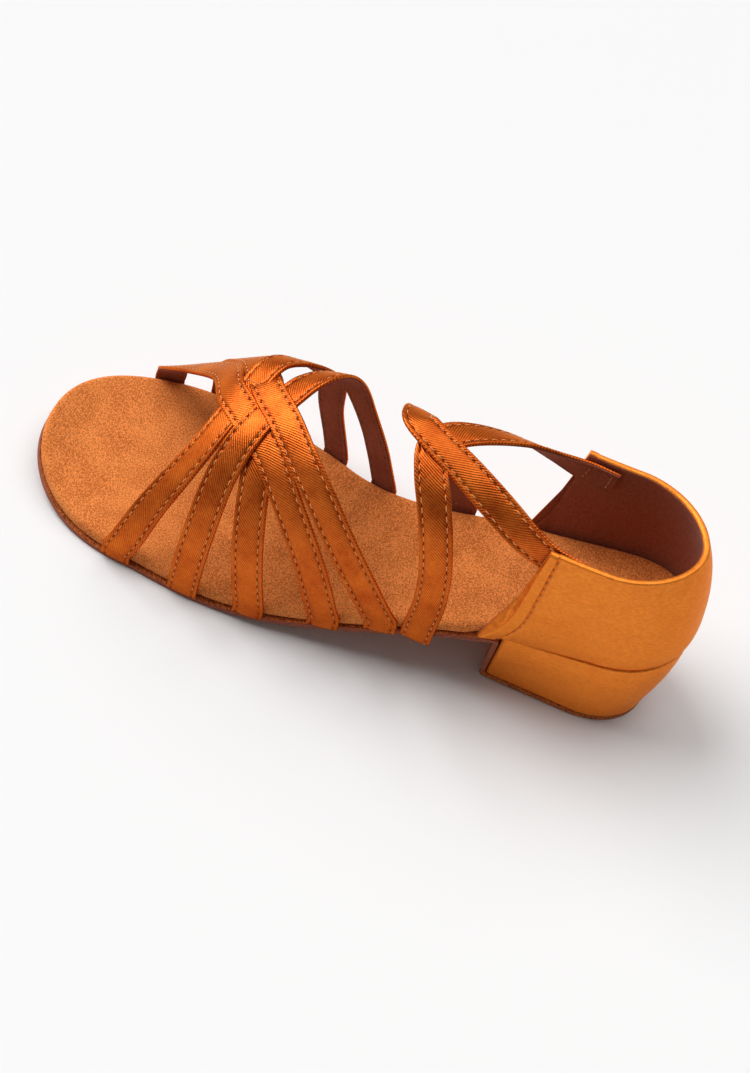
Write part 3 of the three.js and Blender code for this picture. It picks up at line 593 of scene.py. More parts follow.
def ribbed_satin():
    """Strap cloth: twill ribs slanting across the strap, each rib of short threads, puckered along the
    stitch rows and pierced between the stitches. The rib crests are painted lighter as highlight and
    the hollows darker as shade, and the puckers and the holes are painted dark as shade."""
    finish = Finish("strap_satin", {
        "Metallic": 0.84, "Roughness": 0.36, "IOR": 1.5, "Specular IOR Level": 0.6,
        "Specular Tint": SATIN_GLOSS})
    across, along = finish.cloth()
    slant = math.radians(RIB_SLANT)
    wander = finish.noise(8, 2.0) * 0.7
    rib = wave((across * math.cos(slant) - along * math.sin(slant)) / RIB_PITCH + wander)
    dash = wave((along * math.cos(slant) + across * math.sin(slant)) / THREAD_PITCH + rib * 0.4)
    cloud = finish.noise(8, 3.0)
    slub = finish.noise(0.9, 2.0, 0.6)
    slit_and_shade, pucker_and_shade, beat = stitch_gaps(across, along)
    # Painted highlight and shade: rib crests and their threads lighter, the hollows between ribs darker
    rib_highlight = rib * 0.3 + dash * rib * 0.34
    # Painted shade: darker along each stitch row, where the cloth puckers into a valley
    shade = rib_highlight + (cloud - 0.5) * 0.8 + (slub - 0.5) * 0.5 + 0.12 - pucker_and_shade * 0.12
    base = finish.mix(SATIN_DARK, SATIN_LIGHT, clamp(shade))
    # Painted shade: the slits between stitches are mixed towards the dark hole colour
    finish.feed("Base Color", finish.mix(base, HOLE_SHADE, slit_and_shade * 0.85))
    finish.feed("Roughness", cloud * 0.12 - rib * 0.05 + slit_and_shade * 0.4 + 0.27)
    finish.bump(rib * 0.42 + dash * rib * 0.4 - slit_and_shade * 1.8 - pucker_and_shade * beat * 0.9, 0.08)
    return finish.material


def smooth_satin(name, wrinkle):
    """Counter and heel cloth: a fine close-woven satin stretched over low wrinkles. It is the straps'
    cloth, painted in lighter tones as though brightly lit.
    """
    finish = Finish(name, {
        "Metallic": 0.7, "Roughness": 0.38, "Specular IOR Level": 0.5, "Specular Tint": SATIN_GLOSS})
    across, along = finish.cloth()
    warp = wave(across / 0.42 + finish.noise(5, 2.0) * 0.6)
    weft = wave(along / 0.36)
    cloud = finish.noise(14, 3.0)
    folds = finish.noise(8, 2.0, 0.4, (0.55, 0.55, 1.7))
    slub = finish.noise(0.8, 2.0, 0.6, (0.6, 0.6, 1.6))
    shade = (cloud - 0.5) * 0.6 + warp * weft * 0.22 + (slub - 0.5) * 1.7 + 0.46
    # Painted light: the lit copy's lighter tones
    finish.feed("Base Color", finish.mix(LIT_COVER_DARK, LIT_COVER_LIGHT, clamp(shade)))
    finish.feed("Roughness", cloud * 0.14 + slub * 0.08 + 0.27)
    finish.bump(folds * wrinkle + warp * weft * 0.05 + slub * 0.1, 0.8)
    return finish.material


def suede(name, light, dark, nap, depth, contrast):
    """Brushed leather: clumps of nap, fibres half their size, and wide clouds where it was stroked."""
    finish = Finish(name, {
        "Roughness": 0.95, "Sheen Weight": 0.12, "Sheen Roughness": 0.5,
        "Sheen Tint": NAP_SHEEN, "Specular IOR Level": 0.12})
    clump = finish.noise(nap, 2.0, 0.55, (1, 0.6, 1))
    fibre = finish.noise(nap * 0.5, 2.0, 0.6, (0.6, 1, 1))
    cloud = finish.noise(nap * 22, 3.0, 0.55)
    shade = ((clump - 0.5) * 3.2 + (fibre - 0.5) * 3.2) * contrast + (cloud - 0.5) * 1.1 + 0.5
    finish.feed("Base Color", finish.mix(dark, light, clamp(shade)))
    finish.bump(clump + fibre * 0.5, depth)
    return finish.material


def plain_cloth(name, light, dark, size, roughness, depth):
    """A small matt surface with one scale of grain: lining, thread or cut edge."""
    finish = Finish(name, {"Roughness": roughness, "Specular IOR Level": 0.2, "Sheen Weight": 0.1})
    grain = finish.noise(size, 3.0, 0.6)
    finish.feed("Base Color", finish.mix(dark, light, clamp((grain - 0.5) * 1.8 + 0.5)))
    finish.bump(grain, depth)
    return finish.material


def backed_cloth():
    """Strap backing: suede with the stitch rows showing through as dents, painted dark as shade in the
    holes and along the rows.
    """
    finish = Finish("strap_backing", {
        "Roughness": 0.95, "Specular IOR Level": 0.15, "Sheen Weight": 0.12})
    across, along = finish.cloth()
    slit_and_shade, pucker_and_shade, _ = stitch_gaps(across, along)
    grain, cloud = finish.noise(0.7, 3.0, 0.6), finish.noise(7, 2.0)
    shade = (grain - 0.5) * 1.6 + (cloud - 0.5) * 0.9 + 0.5
    base = finish.mix(LINING_DARK, LINING_LIGHT, clamp(shade))
    # Painted shade: the stitch holes and the dents along the rows mixed towards the dark hole colour
    finish.feed("Base Color", finish.mix(base, HOLE_SHADE, clamp(slit_and_shade * 0.75 + pucker_and_shade * 0.06)))
    finish.bump(grain * 0.6 - slit_and_shade * 1.2 - pucker_and_shade * 0.5, 0.12)
    return finish.material


strap_satin = ribbed_satin()
counter_satin = smooth_satin("counter_satin", 0.5)
heel_satin = smooth_satin("heel_satin", 0.35)
bed_suede = suede("insole_suede", BED_LIGHT, BED_DARK, nap=0.42, depth=0.3, contrast=1.0)
sole_suede = suede("outsole_suede", SOLE_LIGHT, SOLE_DARK, nap=0.5, depth=0.6, contrast=1.5)
cut_edge = plain_cloth("cut_edge", EDGE_LIGHT, EDGE_DARK, size=0.8, roughness=0.9, depth=0.2)
lining = plain_cloth("lining_suede", LINING_LIGHT, LINING_DARK, size=0.7, roughness=0.95, depth=0.08)
strap_backing = backed_cloth()
thread = plain_cloth("thread", THREAD_LIGHT, THREAD_DARK, size=0.25, roughness=0.5, depth=0.05)


# Insole

def insole():
    """Padded board: a bed dished under the heel and lifted along the arch, with a rounded rim."""
    turns = np.linspace(0, np.pi, 150)
    s = lerp(insole_back + 0.06, insole_toe - 0.06, (1 - np.cos(turns)) / 2)[:, None]
    share = np.sin(np.linspace(-np.pi / 2, np.pi / 2, 49))[None]
    y = share * sided(share, insole_half, s)
    base = seat_line(s) + CLEARANCE
    cup = HEEL_CUP_DEPTH * smooth((HEEL_LENGTH * 1.2 - s) / HEEL_LENGTH) * (1 - share ** 2)
    from_heel = smooth((s - HEEL_LENGTH) / ARCH_EASE_BACK)
    to_ball = smooth((FOREFOOT_FLAT_START - ARCH_EASE_FRONT - s) / ARCH_EASE_FRONT)
    arch = ARCH_LIFT * from_heel * to_ball
    arch = arch * smooth(-y / (BALL_WIDTH * 0.3))
    top = np.stack([s + 0 * y, y, base + INSOLE_THICKNESS - cup + arch], -1)
    bottom = np.stack([s + 0 * y, y, base + 0 * y], -1)
    depth = rim_distance(top, border(top))
    top[..., 2] -= rounded(depth, BED_RIM_ROUND)
    bottom[..., 2] += rounded(depth, BED_BASE_ROUND)
    slab("insole_pad", top, bottom, [bed_suede], sharp=60)


# Outsole

def heel_half_at(z):
    """Half width of the heel's breast at a height."""
    return lerp(HEEL_BASE_WIDTH, HEEL_SEAT_WIDTH, np.clip(z / HEEL_BREAST_HEIGHT, 0, 1)) / 2


def sheet_path():
    """Middle line of the outsole: up the breast, round a bend and forward to the toe, with a row at
    each end of the slots. Columns are place, height, the normal's two parts, half thickness and share
    of flap."""
    breast = HEEL_LENGTH + CLEARANCE + FLAP_THICKNESS / 2
    bend_s = breast + FLAP_BEND_RADIUS

    def middle(s):
        """Height of the sheet's middle under the foot."""
        return sole_line(s) + OUTSOLE_THICKNESS / 2

    slope = (middle(bend_s + 1) - middle(bend_s - 1)) / 2
    turn = np.pi / 2 + np.arctan(slope)
    centre = middle(bend_s) - FLAP_BEND_RADIUS
    ones = np.ones(14)
    rise = np.linspace(CAP_THICKNESS + CLEARANCE, centre, 14)
    flap = np.stack([breast * ones, rise, -ones, 0 * ones, ones * FLAP_THICKNESS / 2, ones], -1)
    t = np.linspace(0, 1, 12)[1:]
    out, up = np.cos(np.pi - turn * t), np.sin(np.pi - turn * t)
    thick = lerp(FLAP_THICKNESS, OUTSOLE_THICKNESS, t) / 2
    bend = np.stack([bend_s + out * FLAP_BEND_RADIUS, centre + up * FLAP_BEND_RADIUS, out, up,
                     thick, 1 - t], -1)
    even = np.linspace(0, 1, 130)
    spread = lerp(even, (1 - np.cos(np.pi * even)) / 2, 0.85)
    s = lerp(bend_s + 3, SOLE_LENGTH - 0.05, spread)
    slot_s = lerp(LONG_DOWN["along"][-1], LONG_UP["along"][0], 0.5) * SOLE_LENGTH
    reach = STRAP_WIDTH / 2 + SLOT_EASE
    for edge in (slot_s - reach, slot_s + reach):
        s[np.abs(s - edge).argmin()] = edge
    ahead = np.minimum(s + 1, SOLE_LENGTH)
    rise = (middle(ahead) - middle(s - 1)) / (ahead - s + 1)
    length = np.hypot(1, rise)
    forward = np.stack([s, middle(s), -rise / length, 1 / length, 0 * s + OUTSOLE_THICKNESS / 2,
                        0 * s], -1)
    return np.concatenate([flap, bend, forward]), (slot_s - reach, slot_s + reach)


def outsole():
    """Suede sheet on its path, with two slots cut through it that leave the belt loop's bridge. Near
    the slots, two columns of the grid are drawn to each slot's long sides."""
    path, (slot_from, slot_to) = sheet_path()
    s, z, ns, nz, thick, flap = (path[:, k:k + 1] for k in range(6))
    share = np.sin(np.linspace(-np.pi / 2, np.pi / 2, 53))[None]
    half = sided(share, sole_half, np.maximum(HEEL_LENGTH, s))
    y = share * lerp(half, heel_half_at(z), smooth(flap))
    ends = BRIDGE_CENTRE + np.array([-1, 1])[:, None] * (BRIDGE_WIDTH / 2 + np.array([0, SLOT_WIDTH]))
    holes = np.zeros((y.shape[0] - 1, y.shape[1] - 1), bool)
    off_middle = np.abs(s[:, 0] - (slot_from + slot_to) / 2)
    past_slot = np.maximum(0, off_middle - (slot_to - slot_from) / 2)
    near = smooth(1 - past_slot / SLOT_BLEND)
    within = (s[:-1, 0] >= slot_from - 1e-6) & (s[1:, 0] <= slot_to + 1e-6) & (flap[:-1, 0] == 0)
    for slot in np.sort(ends, axis=1):
        first = np.abs(y[off_middle.argmin()] - slot[0]).argmin()
        y[:, first] = lerp(y[:, first], slot[0], near)
        y[:, first + 1] = lerp(y[:, first + 1], slot[1], near)
        holes[within, first] = True
    high = np.stack([s + ns * thick + 0 * y, y, z + nz * thick + 0 * y], -1)
    low = np.stack([s - ns * thick + 0 * y, y, z - nz * thick + 0 * y], -1)
    return slab("outsole_sheet", high, low, [sole_suede, cut_edge], holes, 50, 1)


# Heel

def heel_plan(width, back, front, corner):
    """Closed outline: straight sides, a superellipse round the back, a flat breast, small corners."""
    half = width / 2
    bend = lerp(back, front, HEEL_BEND)
    straight = np.linspace(0, 1, 14)
    side = np.stack([lerp(front - corner, bend, straight), 0 * straight + half], -1)
    turn = np.linspace(0, np.pi, 62)[1:-1]
    along = np.sin(turn) ** (2 / HEEL_ROUNDNESS)
    across = np.sign(np.cos(turn)) * np.abs(np.cos(turn)) ** (2 / HEEL_ROUNDNESS)
    back_curve = np.stack([bend - (bend - back) * along, half * across], -1)
    quarter = np.linspace(0, np.pi / 2, 5)[1:]
    sine, cosine = corner * np.sin(quarter), corner * np.cos(quarter)
    inner = np.stack([front - corner + sine, -half + corner - cosine], -1)
    outer = np.stack([front - corner + cosine, half - corner + sine], -1)[:-1]
    return np.concatenate([side, back_curve, (side * [1, -1])[::-1], inner, outer])


def ring_uv(rings):
    """Across and along for stacked rings: the length round the ring and the height."""
    steps = np.linalg.norm(np.diff(rings, axis=1, prepend=rings[:, :1]), axis=-1)
    return np.stack([np.cumsum(steps, axis=1), rings[..., 2]], -1)


def heel():
    """Covered block: outlines from base to sloping seat, swelling between them, eased at both seams."""
    base = heel_plan(HEEL_BASE_WIDTH, 0, HEEL_LENGTH, HEEL_CORNER)
    seat = heel_plan(HEEL_SEAT_WIDTH, -HEEL_SEAT_OVERHANG, HEEL_LENGTH, HEEL_CORNER)
    bottom = CAP_THICKNESS + HEEL_JOINT
    top = seat_line(seat[:, 0]) - HEEL_JOINT
    t = (1 - np.cos(np.linspace(0, np.pi, 46)))[:, None] / 2
    swell = 1 + np.sin(np.pi * t) * HEEL_BULGE * 2 / HEEL_SEAT_WIDTH
    s = lerp(base[:, 0], seat[:, 0], smooth(t))
    y = lerp(base[:, 1], seat[:, 1], smooth(t)) * swell
    s = np.where(s < HEEL_LENGTH / 2, HEEL_LENGTH / 2 + (s - HEEL_LENGTH / 2) * swell, s)
    z = lerp(bottom, top, t)
    from_seam = np.minimum(z - bottom, top - z)
    shrink = 1 - rounded(from_seam, HEEL_EDGE_ROUND) * 2 / HEEL_SEAT_WIDTH
    s = HEEL_LENGTH / 2 + (s - HEEL_LENGTH / 2) * np.where(s < HEEL_LENGTH / 2, shrink, 1)
    rings = np.stack([s, y * shrink, z], -1)
    return sweep("heel_block", rings, [heel_satin], ring_uv(rings), sharp=50)


def heel_cap():
    """Suede-faced top piece: the heel's outline at rising heights, drawn in where its edge is worn."""
    front = HEEL_LENGTH + CLEARANCE + FLAP_THICKNESS
    worn = ((0, 0.3), (0.12, 0.1), (0.35, 0), (0.9, 0), (1.4, 0), (CAP_THICKNESS - 0.3, 0),
            (CAP_THICKNESS, 0.2))
    rings = []
    for height, inset in worn:
        outline = heel_plan(HEEL_BASE_WIDTH - inset * 2, inset, front - inset, CAP_CORNER)
        rings.append(np.column_stack([outline, np.full(len(outline), height)]))
    return sweep("heel_cap_suede", np.array(rings), [sole_suede], sharp=50)


# Counter

def counter_point(turn, up):
    """Outer face of the counter: a superellipse round the back, then straight sides that widen to the
    sole. The turn runs from -1 at the inner front edge to 1 at the outer one."""
    back, bend, front = (counter_of[name](up) * HEEL_LENGTH for name in ("back", "bend", "front"))
    power = 2 / counter_of["round"](up)
    reach = np.abs(turn)
    wide = counter_of["width"](up) * HEEL_SEAT_WIDTH / 2
    angle = np.minimum(1, reach / BACK_TURN) * np.pi / 2
    t = np.clip((reach - BACK_TURN) / (1 - BACK_TURN), 0, 1)
    curve = bend - (bend - back) * np.maximum(0, np.cos(angle)) ** power
    s = np.where(reach < BACK_TURN, curve, lerp(bend, front, t))
    to_sole = sided(turn, sole_half, np.maximum(HEEL_LENGTH, s)) / (HEEL_SEAT_WIDTH / 2)
    side = wide * lerp(1, lerp(to_sole, 1, up), smooth(t))
    y = np.where(reach < BACK_TURN, wide * np.sin(angle) ** power, side)
    low = seat_line(s) + CLEARANCE
    high = COUNTER_TOP + COUNTER_BACK_RISE * (1 - smooth((s + HEEL_SEAT_OVERHANG) / HEEL_LENGTH))
    return np.stack([s, np.where(turn < 0, -1, 1) * y, lerp(low, high, up)], -1)


def counter_normal(turn, up):
    """Outward normal of the counter's outer face, by central differences."""
    turn, up = np.broadcast_arrays(np.clip(turn, -0.97, 0.97), np.clip(up, 0.02, 0.98))
    around = counter_point(turn + 0.02, up) - counter_point(turn - 0.02, up)
    rise = counter_point(turn, up + 0.02) - counter_point(turn, up - 0.02)
    return unit(np.cross(rise, around))


# Turn at which the folded binding begins, and the straight side's length that it is measured on
side_length = HEEL_LENGTH * (COUNTER["front"][2] - COUNTER["bend"][2])
binding = 1 - BINDING_WIDTH / side_length * (1 - BACK_TURN)


def counter_wall(turn, up, off):
    """The counter's outer face moved out along its normal."""
    return counter_point(turn, up) + counter_normal(turn, up) * np.asarray(off)[..., None]


def counter():
    """Shell: satin outside with a raised folded binding at the front, a rolled top edge, lining
    inside. Each ring runs up the outer face, over the roll and down the lining."""
    at_fold = np.linspace(binding - 0.02, binding + 0.02, 11)
    turns = np.unique(np.concatenate([
        np.linspace(-1, 1, 181), at_fold, -at_fold, [0.996, 0.998, -0.996, -0.998]]))[:, None]
    rise = (1 - np.cos(np.linspace(0, np.pi, 40))) / 2
    past_fold = np.abs(turns) - binding
    folded = BINDING_RISE * smooth((past_fold + FOLD_EASE / 2) / FOLD_EASE)
    groove = GROOVE_DEPTH * np.exp(-((past_fold + SEAM_BEHIND_FOLD) / GROOVE_WIDTH) ** 2)
    tip = rounded((1 - np.abs(turns)) * side_length / (1 - BACK_TURN), 0.8)
    seam = rounded(rise * WALL_HEIGHT, 1.0)[None] * 0.8
    outer = counter_wall(turns, rise[None] * ROLL_START, folded - groove - tip - seam)
    half = COUNTER_THICKNESS / 2
    bead = np.linspace(0, np.pi, 9)[None, 1:-1]
    roll_off = -half + (half + 0.1) * np.cos(bead) + 0.5 * folded
    roll = counter_wall(turns, ROLL_START + (1 - ROLL_START) * np.sin(bead), roll_off)
    inner_off = -COUNTER_THICKNESS + tip + 0 * rise[None]
    inner = counter_wall(turns, rise[None, ::-1] * ROLL_START, inner_off)
    rings = np.concatenate([outer, roll, inner], axis=1)
    rings = np.concatenate([rings, (rings[:, -1:] + rings[:, :1]) / 2], axis=1)
    columns = rings.shape[1]
    kinds = np.zeros(columns, int)
    kinds[outer.shape[1] + roll.shape[1] - 2:] = 1
    rolled = np.arange(roll.shape[1] + 1) * 0.4
    length = np.concatenate([rise * WALL_HEIGHT, WALL_HEIGHT + rolled,
                             WALL_HEIGHT + rise * WALL_HEIGHT + 3])[None, :columns]
    uv = np.stack([turns * WALL_REACH + 0 * length, length + 0 * turns], -1)
    return sweep("counter_shell", rings, [counter_satin, lining], uv, kinds, 50)


# Straps

def strap_course(rows, count=120):
    """Path over the foot: the table's columns by the share of its rows passed, lifted by its layer."""
    rows = stepped(rows)
    t = np.linspace(0, 1, count)
    along, around, layer = (column(rows, "step", name)(t) for name in ("along", "around", "layer"))
    s = along * SOLE_LENGTH
    normals = last_normal(s, around)
    lift = STRAP_THICKNESS / 2 + layer * (STRAP_THICKNESS - WELD)
    return last_point(s, around) + normals * lift[:, None], normals


def with_tails(points, normals):
    """The course with both ends run straight down the insole's side to the outsole."""
    def tail(end, normal):
        """Six points straight down from an end, all facing one way."""
        drop = end[2] - seat_line(end[0]) - CLEARANCE
        line = np.repeat(end[None], 6, axis=0)
        line[:, 2] -= drop * np.linspace(0, 1, 7)[1:]
        return line, np.repeat(normal[None], 6, axis=0)

    first, last = tail(points[0], normals[0]), tail(points[-1], normals[-1])
    return (np.concatenate([first[0][::-1], points, last[0]]),
            np.concatenate([first[1][::-1], normals, last[1]]))


def free_course(rows, count=130):
    """Path in the air through a table of places, its face turned by the tilt."""
    rows = stepped(rows)
    t = np.linspace(0, 1, count)
    names = ("along", "across", "up", "tilt")
    along, across, up, tilt = (column(rows, "step", name)(t) for name in names)
    turn = np.radians(tilt)
    points = np.stack([along * SOLE_LENGTH, across * BALL_WIDTH, up * COUNTER_TOP], -1)
    return points, np.stack([0 * turn, np.sin(turn), np.cos(turn)], -1)


def loop_course():
    """Path under the sole: round the outer edge, through a slot, over the bridge, back through the
    other slot and round the inner edge. Rows are place across, height from the sole's underside, and
    the normal's two parts."""
    start, stop = LONG_DOWN["along"][-1] * SOLE_LENGTH, LONG_UP["along"][0] * SOLE_LENGTH
    off = CLEARANCE + STRAP_THICKNESS / 2

    def edge(side, s):
        """A quarter circle under the sole's edge."""
        half = sole_half(side, s)
        turn = np.linspace(0, np.pi / 2, 9)
        out, down = side * np.cos(turn), -np.sin(turn)
        first = [side * (half + off), OUTSOLE_THICKNESS, side, 0]
        return np.concatenate([[first], np.stack([side * half + out * off, down * off, out, down], -1)])

    def shelf(end):
        """An S curve through a slot, from under the sole to above the bridge."""
        outer = BRIDGE_CENTRE + end * (BRIDGE_WIDTH / 2 + SLOT_WIDTH + STRAP_THICKNESS)
        inner = BRIDGE_CENTRE + end * (BRIDGE_WIDTH / 2 - STRAP_THICKNESS)
        t = np.linspace(1, 0, 12)
        height = lerp(OUTSOLE_THICKNESS + off, -off, smooth(t))
        return np.stack([lerp(inner, outer, t), height, 0 * t, 0 * t - 1], -1)

    rows = np.concatenate([edge(LATERAL, start), shelf(1), shelf(-1)[::-1], edge(MEDIAL, stop)[::-1]])
    y, rise = rows[:, 0], rows[:, 1]
    s = lerp(start, stop, (y[0] - y) / (y[0] - y[-1]))
    return np.stack([s, y, sole_line(s) + rise], -1), np.stack([0 * s, rows[:, 2], rows[:, 3]], -1)


def frames(points, normals):
    """Forward, across and up along a course: forward by central differences, across square to it
    and to the face's normal."""
    forward = unit(np.gradient(points, axis=0))
    across = unit(np.cross(normals, forward))
    return forward, across, unit(np.cross(forward, across))


def travelled(points):
    """Length along a course up to each of its points."""
    return np.concatenate([[0], np.cumsum(np.linalg.norm(np.diff(points, axis=0), axis=1))])


def strap_height(w):
    """Upper face across a strap: edges rounded over, a valley at each stitch row, a low swell
    between them."""
    w = np.abs(w)
    face = STRAP_THICKNESS / 2 - rounded(STRAP_WIDTH / 2 - w, 0.5)
    valley = 0.17 * np.exp(-((w - STITCH_ROW) / 0.5) ** 2)
    return face - valley + 0.12 * np.maximum(0, 1 - (w / STITCH_ROW) ** 2)


def strap_section():
    """Ring of a strap: width, height and kind of each step, satin over a lining with a cut edge."""
    half, low = STRAP_WIDTH / 2, -STRAP_THICKNESS / 2
    top = half * np.sin(np.linspace(-np.pi / 2, np.pi / 2, 27))
    right = [(half, low + 0.5, 0), (half - 0.3, low + 0.42, 2), (half - 0.3, low, 1)]
    under = [(half * 0.35, low, 1), (-half * 0.35, low, 1)]
    left = [(-half + 0.3, low, 2), (-half + 0.3, low + 0.42, 0), (-half, low + 0.5, 0)]
    ring = np.array([(w, strap_height(w), 0) for w in top] + right + under + left)
    return ring[:, 0], ring[:, 1], ring[:, 2].astype(int)


def strap(name, points, normals):
    """The strap's section carried along a course."""
    _, across, up = frames(points, normals)
    w, h, kinds = strap_section()
    rings = points[:, None] + across[:, None] * w[None, :, None] + up[:, None] * h[None, :, None]
    w_everywhere, along = np.broadcast_arrays(w[None], travelled(points)[:, None])
    uv = np.stack([w_everywhere, along], -1)
    return sweep(name, rings, [strap_satin, strap_backing, cut_edge], uv, kinds, 55)


def stitches(name, centres, forward, up):
    """Short arched capsules of thread, all of one shape, set on their places as one mesh. Each is six
    rings of six corners carried along an arc whose ends dive under the cloth."""
    t = np.linspace(-1, 1, 6)
    size = STITCH_RADIUS * np.sqrt(np.maximum(0.12, 1 - t ** 4))
    reach, lift = t * STITCH_LENGTH / 2, 0.12 - 0.3 * t ** 4
    angle = np.linspace(0, 2 * np.pi, 7)[:-1]
    side = np.cross(up, forward)
    spine = centres[:, None] + forward[:, None] * reach[:, None] + up[:, None] * lift[:, None]
    ring = side[:, None] * np.cos(angle)[:, None] + up[:, None] * np.sin(angle)[:, None]
    points = spine[:, :, None] + ring[:, None] * size[:, None, None]
    index = np.arange(len(centres) * 36).reshape(-1, 6, 6)
    following = np.roll(index, -1, axis=2)
    walls = np.stack([index[:, :-1], following[:, :-1], following[:, 1:], index[:, 1:]], -1)
    caps = [index[:, row, order] for row, order in (
        (0, [0, 5, 4, 3]), (0, [0, 3, 2, 1]), (5, [0, 1, 2, 3]), (5, [0, 3, 4, 5]))]
    faces = np.concatenate([walls.reshape(-1, 4), *caps])
    return put(name, points.reshape(-1, 3), faces, [thread], sharp=80)


def seam_places(points, normals):
    """Places and directions of the stitches of a strap's two rows, in the middle of each pitch."""
    along = travelled(points)
    forward, across, up = frames(points, normals)
    first, last = SEAM_START / STITCH_PITCH, (along[-1] - SEAM_START) / STITCH_PITCH
    at = np.arange(np.ceil(first), np.floor(last)) * STITCH_PITCH + STITCH_PITCH / 2

    def sample(values):
        """Values at the stitches, between those of the course."""
        return np.stack([np.interp(at, along, values[:, k]) for k in range(3)], -1)

    point, forward, across, up = (sample(values) for values in (points, forward, across, up))
    rows = [point + across * w + up * strap_height(w) for w in (-STITCH_ROW, STITCH_ROW)]
    return np.concatenate(rows), np.tile(unit(forward), (2, 1)), np.tile(unit(up), (2, 1))


def row_across(points, normals, at, face=1):
    """Places of three stitches across a strap, at that length along it, on its upper or lower face."""
    forward, across, up = frames(points, normals)
    near = np.abs(travelled(points) - at).argmin()
    w = np.array([-1, 0, 1])[:, None] * STITCH_ROW * CROSS_ROW_REACH
    height = strap_height(w) if face > 0 else -STRAP_THICKNESS / 2
    place = points[near] + across[near] * w + up[near] * height
    return place, np.tile(across[near], (3, 1)), np.tile(up[near] * face, (3, 1))


def sew(name, seams):
    """Stitches at the places of several seams, as one mesh."""
    stitches(name, *(np.concatenate(part) for part in zip(*seams)))


def vamp():
    """The five straps over the foot, with the first return strap tacked where it covers the second."""
    seams = []
    for name, rows in VAMP.items():
        course = with_tails(*strap_course(rows))
        strap(name, *course)
        seams.append(seam_places(*course))
        if name == "first_return_strap":
            seams.append(row_across(*course, travelled(course[0])[TACK_STEP]))
    sew("vamp_stitches", seams)


def long_strap():
    """One strap down to the outer edge, through the belt loop and up again. Its ends are sewn to the
    counter's lining by two rows across each, which show on its back."""
    runs = (free_course(LONG_DOWN), loop_course(), free_course(LONG_UP))
    course = tuple(np.concatenate(part) for part in zip(*runs))
    strap("long_strap_band", *course)
    near, far = END_ROWS
    end = travelled(course[0])[-1]
    rows = [row_across(*course, at, -1) for at in (near, far, end - far, end - near)]
    sew("long_strap_stitches", [seam_places(*course), *rows])


def counter_seam(end):
    """Places of the stitches up the counter, just behind the fold of its binding."""
    up = np.arange(0.02, 0.965, STITCH_PITCH / WALL_HEIGHT)[:, None]
    turn = end * (binding - SEAM_BEHIND_FOLD)
    places = counter_wall(turn, up, 0 * up - 0.22)[:, 0]
    forward = unit(counter_point(turn, up + 0.01) - counter_point(turn, up - 0.01))[:, 0]
    return places, forward, counter_normal(turn, up)[:, 0]


insole()
outsole()
heel()
heel_cap()
counter()
vamp()
long_strap()
sew("counter_stitches", [counter_seam(MEDIAL), counter_seam(LATERAL)])

# What each piece stands for, whose part is hidden, and the material slot listed for it
pieces = {
    "insole_pad": ("insole", "insole_suede"), "outsole_sheet": ("outsole", "sole_suede"),
    "heel_block": ("heel", "satin"), "heel_cap_suede": ("heel_cap", "sole_suede"),
    "counter_shell": ("heel_counter", "satin"), **dict.fromkeys(VAMP, ("vamp_straps", "satin")),
    "long_strap_band": ("long_strap", "satin"),
}
for piece, (node, slot) in pieces.items():
    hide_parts(node)


# Studio

FLOOR_REACH = 60
FLOOR_DROP = 0.0001
SKY_STOPS = ((0.05, colour(0.93, 0.93, 0.93)), (0.16, colour(0.17, 0.17, 0.17)))


def floor():
    """A wide sheet of pale paper just under the shoe."""
    mesh = bpy.data.meshes.new("floor")
    corners = ((-1, -1), (1, -1), (1, 1), (-1, 1))
    mesh.from_pydata([(x * FLOOR_REACH, y * FLOOR_REACH, -FLOOR_DROP) for x, y in corners], [],
                     [(0, 1, 2, 3)])
    finish = Finish("floor_paper", {
        "Base Color": colour(0.8, 0.8, 0.8), "Roughness": 0.6, "Specular IOR Level": 0.2})
    mesh.materials.append(finish.material)
    obj = bpy.data.objects.new("floor", mesh)
    bpy.context.scene.collection.objects.link(obj)


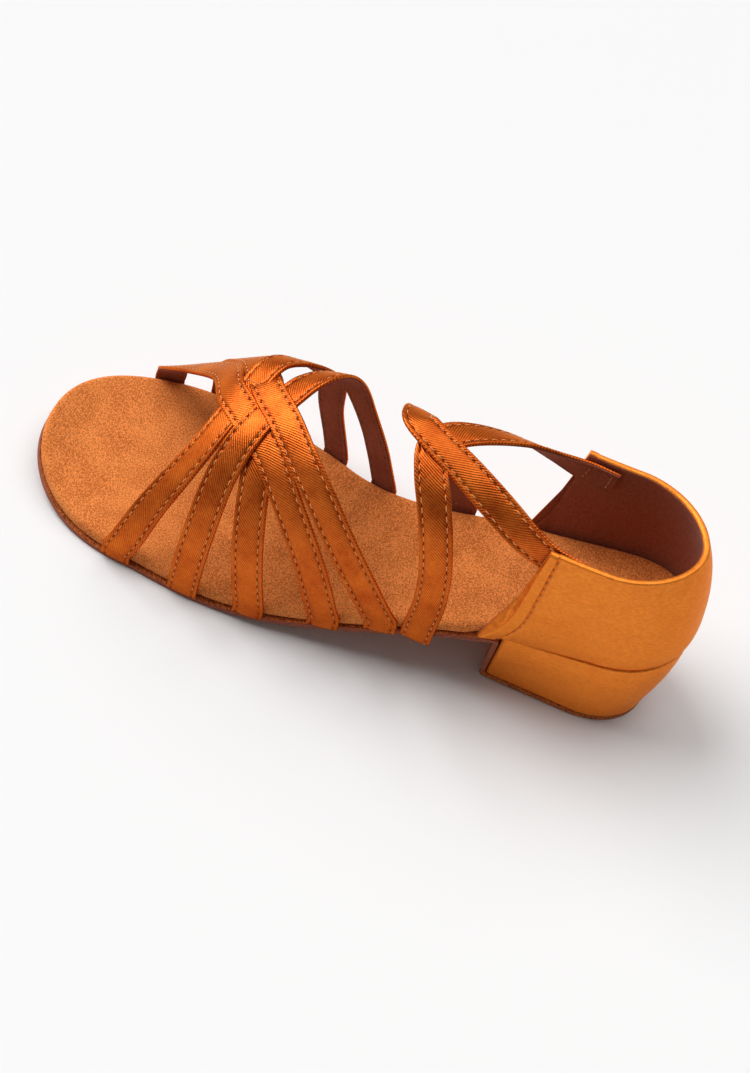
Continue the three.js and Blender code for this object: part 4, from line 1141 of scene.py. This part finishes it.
def light(name, place, spread, power):
    """Wide soft lamp far away, shining from that direction over a disc of that many degrees."""
    lamp = bpy.data.lights.new(name, "SUN")
    lamp.angle, lamp.energy = math.radians(spread), power
    obj = bpy.data.objects.new(name, lamp)
    obj.location = place
    obj.rotation_euler = Vector(place).to_track_quat("Z", "Y").to_euler()
    bpy.context.scene.collection.objects.link(obj)


def sky():
    """Pale at the horizon and dark above it, by the height of the direction looked in."""
    world = bpy.data.worlds.new("studio")
    sheet = Sheet(world)
    way = sheet.node("ShaderNodeTexCoord", output="Generated")
    height = sheet.node("ShaderNodeSeparateXYZ", values=(way,), output="Z")
    tone = sheet.node("ShaderNodeValToRGB", {"stops": SKY_STOPS}, (height,))
    shine = sheet.node("ShaderNodeBackground", values={"Color": tone})
    sheet.node("ShaderNodeOutputWorld", values={"Surface": shine})
    bpy.context.scene.world = world


floor()
light("key", (0.72, -0.18, 0.76), 46, 2.7)
light("overhead", (-0.1, -0.42, 1.0), 60, 1.35)
sky()

# Camera: at the outer side, above, rolled so that the toe points up and to the left
AZIMUTH, ELEVATION, ROLL = (math.radians(angle) for angle in (94.5, 52.8, 20))
DISTANCE = 0.545
SENSOR_WIDTH = 36
FOCAL_PER_WIDTH = 1737 / 750
aim = Vector((0.0737, 0.0042, 0.0224))
level = math.cos(ELEVATION)
away = Vector((level * math.cos(AZIMUTH), level * math.sin(AZIMUTH), math.sin(ELEVATION)))
right = (-away).cross(Vector((0, 0, 1))).normalized()
above = right.cross(-away)
image_right = right * math.cos(ROLL) + above * math.sin(ROLL)
image_up = above * math.cos(ROLL) - right * math.sin(ROLL)
camera = bpy.data.cameras.new("camera")
camera.sensor_fit = "HORIZONTAL"
camera.sensor_width = SENSOR_WIDTH
camera.lens = SENSOR_WIDTH * FOCAL_PER_WIDTH
camera_object = bpy.data.objects.new("camera", camera)
turned = Matrix((image_right, image_up, away)).transposed().to_4x4()
camera_object.matrix_world = Matrix.Translation(aim + away * DISTANCE) @ turned
bpy.context.scene.collection.objects.link(camera_object)
bpy.context.scene.camera = camera_object
